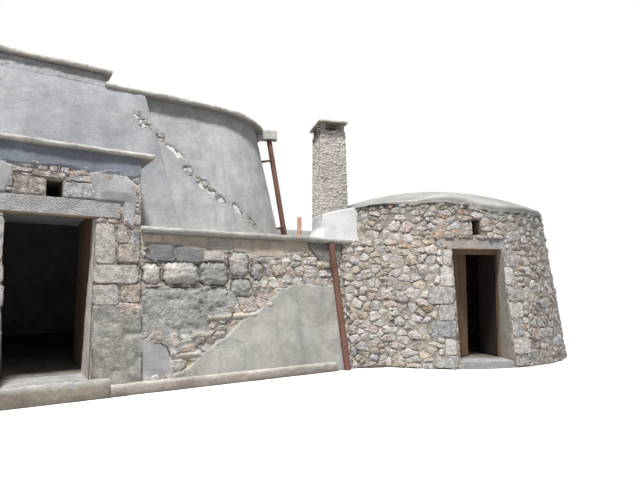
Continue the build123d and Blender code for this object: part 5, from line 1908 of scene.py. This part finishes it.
def door_leaf(name, body, frame_point, hand, angle, pin, shut, edges, levels, boards, seed, shade=1.0):
    """Builds one leaf's boards and iron, shut, then swings them to where the leaf stands."""
    rng = np.random.default_rng(seed)
    swing = math.radians(-hand * angle)

    def place(x, y, z):
        dx, dy = hand * x - hand * pin[0], y - pin[1]
        turned_x = hand * pin[0] + dx * math.cos(swing) - dy * math.sin(swing)
        turned_y = pin[1] + dx * math.sin(swing) + dy * math.cos(swing)
        return frame_point(turned_x, turned_y, z)

    near, far = edges
    foot, head = levels
    inner = shut + BOARD_THICK + 0.0002
    wood = Blocks(soft=0.004, wear=0.004, step=0.22)
    stray = np.concatenate([[0], rng.uniform(-0.12, 0.12, boards - 1), [0]])
    cuts = far + (np.arange(boards + 1) + stray) * (near - far) / boards
    for left, right in zip(cuts, cuts[1:]):
        # shade darkens a leaf's boards; below 1 it is painted shade for a leaf standing in the dark
        tone = shade * rng.uniform(0.75, 1.25)
        ends = rng.uniform(0.0, 0.006, 2)
        low = (left + 0.0015, shut, foot + ends[0])
        high = (right - 0.0015, shut + BOARD_THICK, head - ends[1])
        wood.box(low, high, place, colour=(tone, tone * 0.98, tone * 0.95))
    for level in (foot + 0.06, head - 0.06 - BATTEN_HIGH):
        tone = shade * rng.uniform(0.8, 1.1)
        low, high = (far + 0.06, inner, level), (near - 0.06, shut + 0.056, level + BATTEN_HIGH)
        wood.box(low, high, place, colour=(tone, tone, tone), step=0.3)
    wood.build(f"{name}_boards", old_boards, "old_boards", body, closes=(f"{name}_leaf",))

    iron = Blocks(soft=0.0015, wear=0.001, step=0.3)
    straps = (foot + 0.33, head - 0.33)
    for level in straps:
        for share in range(3):
            low, narrow = pin[0] - STRAP_PART * (share + 1), 0.002 * share
            high = (low + STRAP_PART, shut + 0.046, level + STRAP_HIGH - narrow)
            iron.box((low, inner, level + narrow), high, place)
    forged = []
    for level in straps:
        forged.append(tube(pin, 0.0135, 0.0086, level, level + STRAP_HIGH, place))
        for share in (0.25, 0.55, 0.85):
            middle = (pin[0] - 3 * STRAP_PART * share, shut + 0.046, level + STRAP_HIGH / 2)
            forged.append(stud(middle, 1, 0.008, 0.005, place))
    for level in (foot + 0.115, head - 0.115):
        for left, right in zip(cuts, cuts[1:]):
            for dx, dz in ((-0.02, 0.018), (0.02, -0.018)):
                middle = ((left + right) / 2 + dx, shut, level + dz)
                forged.append(stud(middle, -1, 0.006, 0.003, place, 6))
    for points, faces in forged:
        iron.join(points, faces, np.ones((len(points), 4)))
    iron.build(f"{name}_iron", forged_iron, "forged_iron", body)


def door_leaves():
    """The main doorway's leaf and the hut's pair, each swung open as it stands."""
    door_leaf(
        "main_door", "main_leaf", house_point, 1, 90,
        (0.50, 0.557), 0.506, (0.48, -0.48), (0.212, 2.045), 6, 71,
    )
    pin, levels = (0.45, 0.057 - HUT_DOOR_PLANE), (0.112, HUT_DOOR_HEAD - 0.015)
    # The right leaf's shade of 0.10 is painted shade: it stands open in the dark room
    for hand, side, angle, seed, shade in ((-1, "left", 20, 72, 1.0), (1, "right", 84, 73, 0.10)):
        door_leaf(
            f"hut_door_{side}", f"hut_{side}_leaf", hut_point, hand, angle,
            pin, 0.006 - HUT_DOOR_PLANE, (0.43, 0.006), levels, 3, seed, shade,
        )


door_leaves()


def slope_front(half, z):
    """Depth of the porch's face at a level, the same across its width."""
    return FRONT_BATTER * z


def hut_front(half, z):
    """Depth of the hut's face at a level, beside the middle of its doorway."""
    return -np.sqrt(hut_radius(z) ** 2 - half**2)


def reveals():
    """Lime on the cut sides of the two doorways, in to their doors: the main one's painted lighter as
    sunlight, the hut's painted darker as shade.
    """
    rows, columns = 60, 10
    i, j = np.meshgrid(np.arange(rows + 1), np.arange(columns + 1), indexing="ij")
    for name, point, foot, head, halves, front, back, tint in (
        # Main doorway: tint raised as painted sunlight on its reveals
        (
            "main_doorway_reveals", house_point, 0.20, 1.985, DOORWAY_HALVES,
            slope_front, 0.50, (0.66, 0.60, 0.56),
        ),
        # Hut doorway: tint lowered as painted shade on its reveals
        (
            "hut_doorway_reveals", hut_point, 0.10, 1.765, (0.42, 0.41),
            hut_front, -HUT_DOOR_PLANE - 0.01, (0.31, 0.28, 0.24),
        ),
    ):
        both = Heap()
        for side in (-1, 1):
            z = foot + (head - foot) * i / rows
            half = np.interp(z, (foot, head), halves)
            start = front(half, z) + 0.006
            y = start + (back - start) * j / columns
            worn = ripple(z, y, 0.07, 401 + side) * 0.5 + ripple(z, y, 0.19, 403 + side) * 0.5
            points = point(side * (half - 0.004 - 0.003 * worn), y, z).reshape(-1, 3)
            faces = net(rows + 1, columns + 1)
            if side < 0:
                faces = [tuple(reversed(face)) for face in faces]
            tone = np.array(tint) * (1 + 0.12 * worn)[..., None]
            both.join(points, faces, coat_marks(tone, 0.45))
        both.build(name, lime_render, "lime_render", layer="coat", smooth=True)


reveals()

# Materials of the frame's own pieces that stay in view

FINISHES = {
    "lime_render": white_plaster,
    "rubble_stone": mortar,
    "dressed_stone": dressed_stone,
    "coping_stone": coping_stone,
    "white_plaster": old_plaster,
    "floor_stone": floor_stone,
    "pipe_paint": pipe_paint,
    "clay_pipe": clay_pipe,
    "old_boards": plain_boards,
    "forged_iron": forged_iron,
}
for entry in frame["record"]["subparts"]:
    node = frame["nodes"][entry["node"]]
    node.data.materials.clear()
    node.data.materials.append(FINISHES[entry["material_slot"]])
frame["nodes"]["hut_lintel_left"].data.materials[0] = warm_stone

# Light, floor and camera


def seen_directly(f):
    """1 for rays that should see plain white, 0 for rays that carry light to the object."""
    rays = ("Is Camera Ray", "Is Glossy Ray", "Is Transmission Ray")
    first, second, third = (f.node("ShaderNodeLightPath", output=ray) for ray in rays)
    return (first + second + third).lowest(1.0)


def pale_floor():
    """A grey floor that takes shadows near the building and fades to white."""
    f = Finish("pale_floor")
    tone = f.blend(seen_directly(f), (0.42, 0.41, 0.40), (0.93, 0.93, 0.93))
    near = f.node("ShaderNodeBsdfDiffuse", {}, {"Color": tone})
    middle = (2.0, 2.0, 0.0)
    away = f.node("ShaderNodeVectorMath", {"operation": "DISTANCE"}, {0: f.place(), 1: middle}, "Value")
    white = f.node("ShaderNodeEmission", {}, {"Color": (1.0, 1.0, 1.0), "Strength": 1.0})
    faded = f.span(away, 9.0, 16.0) * seen_directly(f)
    surface = f.node("ShaderNodeMixShader", {}, {0: faded, 1: near, 2: white})
    f.node("ShaderNodeOutputMaterial", {}, {"Surface": surface})
    reach, level = 90, -0.001
    corners = [(x, y, level) for x, y in ((-reach, -reach), (reach, -reach), (reach, reach), (-reach, reach))]
    mesh = bpy.data.meshes.new("pale_floor")
    mesh.from_pydata(corners, [], [(0, 1, 2, 3)])
    mesh.materials.append(f.material)
    in_scene("pale_floor", mesh)


def daylight():
    """An even white sky, and one high lamp for the sun."""
    world = bpy.data.worlds.new("daylight")
    bpy.context.scene.world = world
    sky = Finish("daylight", world)
    strength = 0.42 + seen_directly(sky) * 0.58
    glow = sky.node("ShaderNodeBackground", {}, {"Color": (1.0, 1.0, 1.0), "Strength": strength})
    sky.node("ShaderNodeOutputWorld", {}, {"Surface": glow})
    sun = bpy.data.lights.new("sun_side", "AREA")
    sun.shape = "DISK"
    sun.size = 4.0
    sun.energy = 15000.0
    sun.color = (1.0, 0.985, 0.96)
    place, target = Vector((-3.3, -6.0, 27.4)), Vector((3.0, 1.0, 1.5))
    made = in_scene("sun_side", sun)
    made.location = place
    made.rotation_euler = (target - place).to_track_quat("-Z", "Y").to_euler()


def photo_camera():
    """The photo's own camera, as solved from its level edges and vanishing lines."""
    data = bpy.data.cameras.new("photo_camera")
    data.lens = 28.125
    data.sensor_width = 36.0
    camera = in_scene("photo_camera", data)
    camera.location = (-0.605, -5.9, 1.2)
    camera.rotation_euler = (math.radians(95.26), 0.0, math.radians(-34.0))
    bpy.context.scene.camera = camera


pale_floor()
daylight()
photo_camera()
bpy.context.scene.view_settings.view_transform = "Standard"
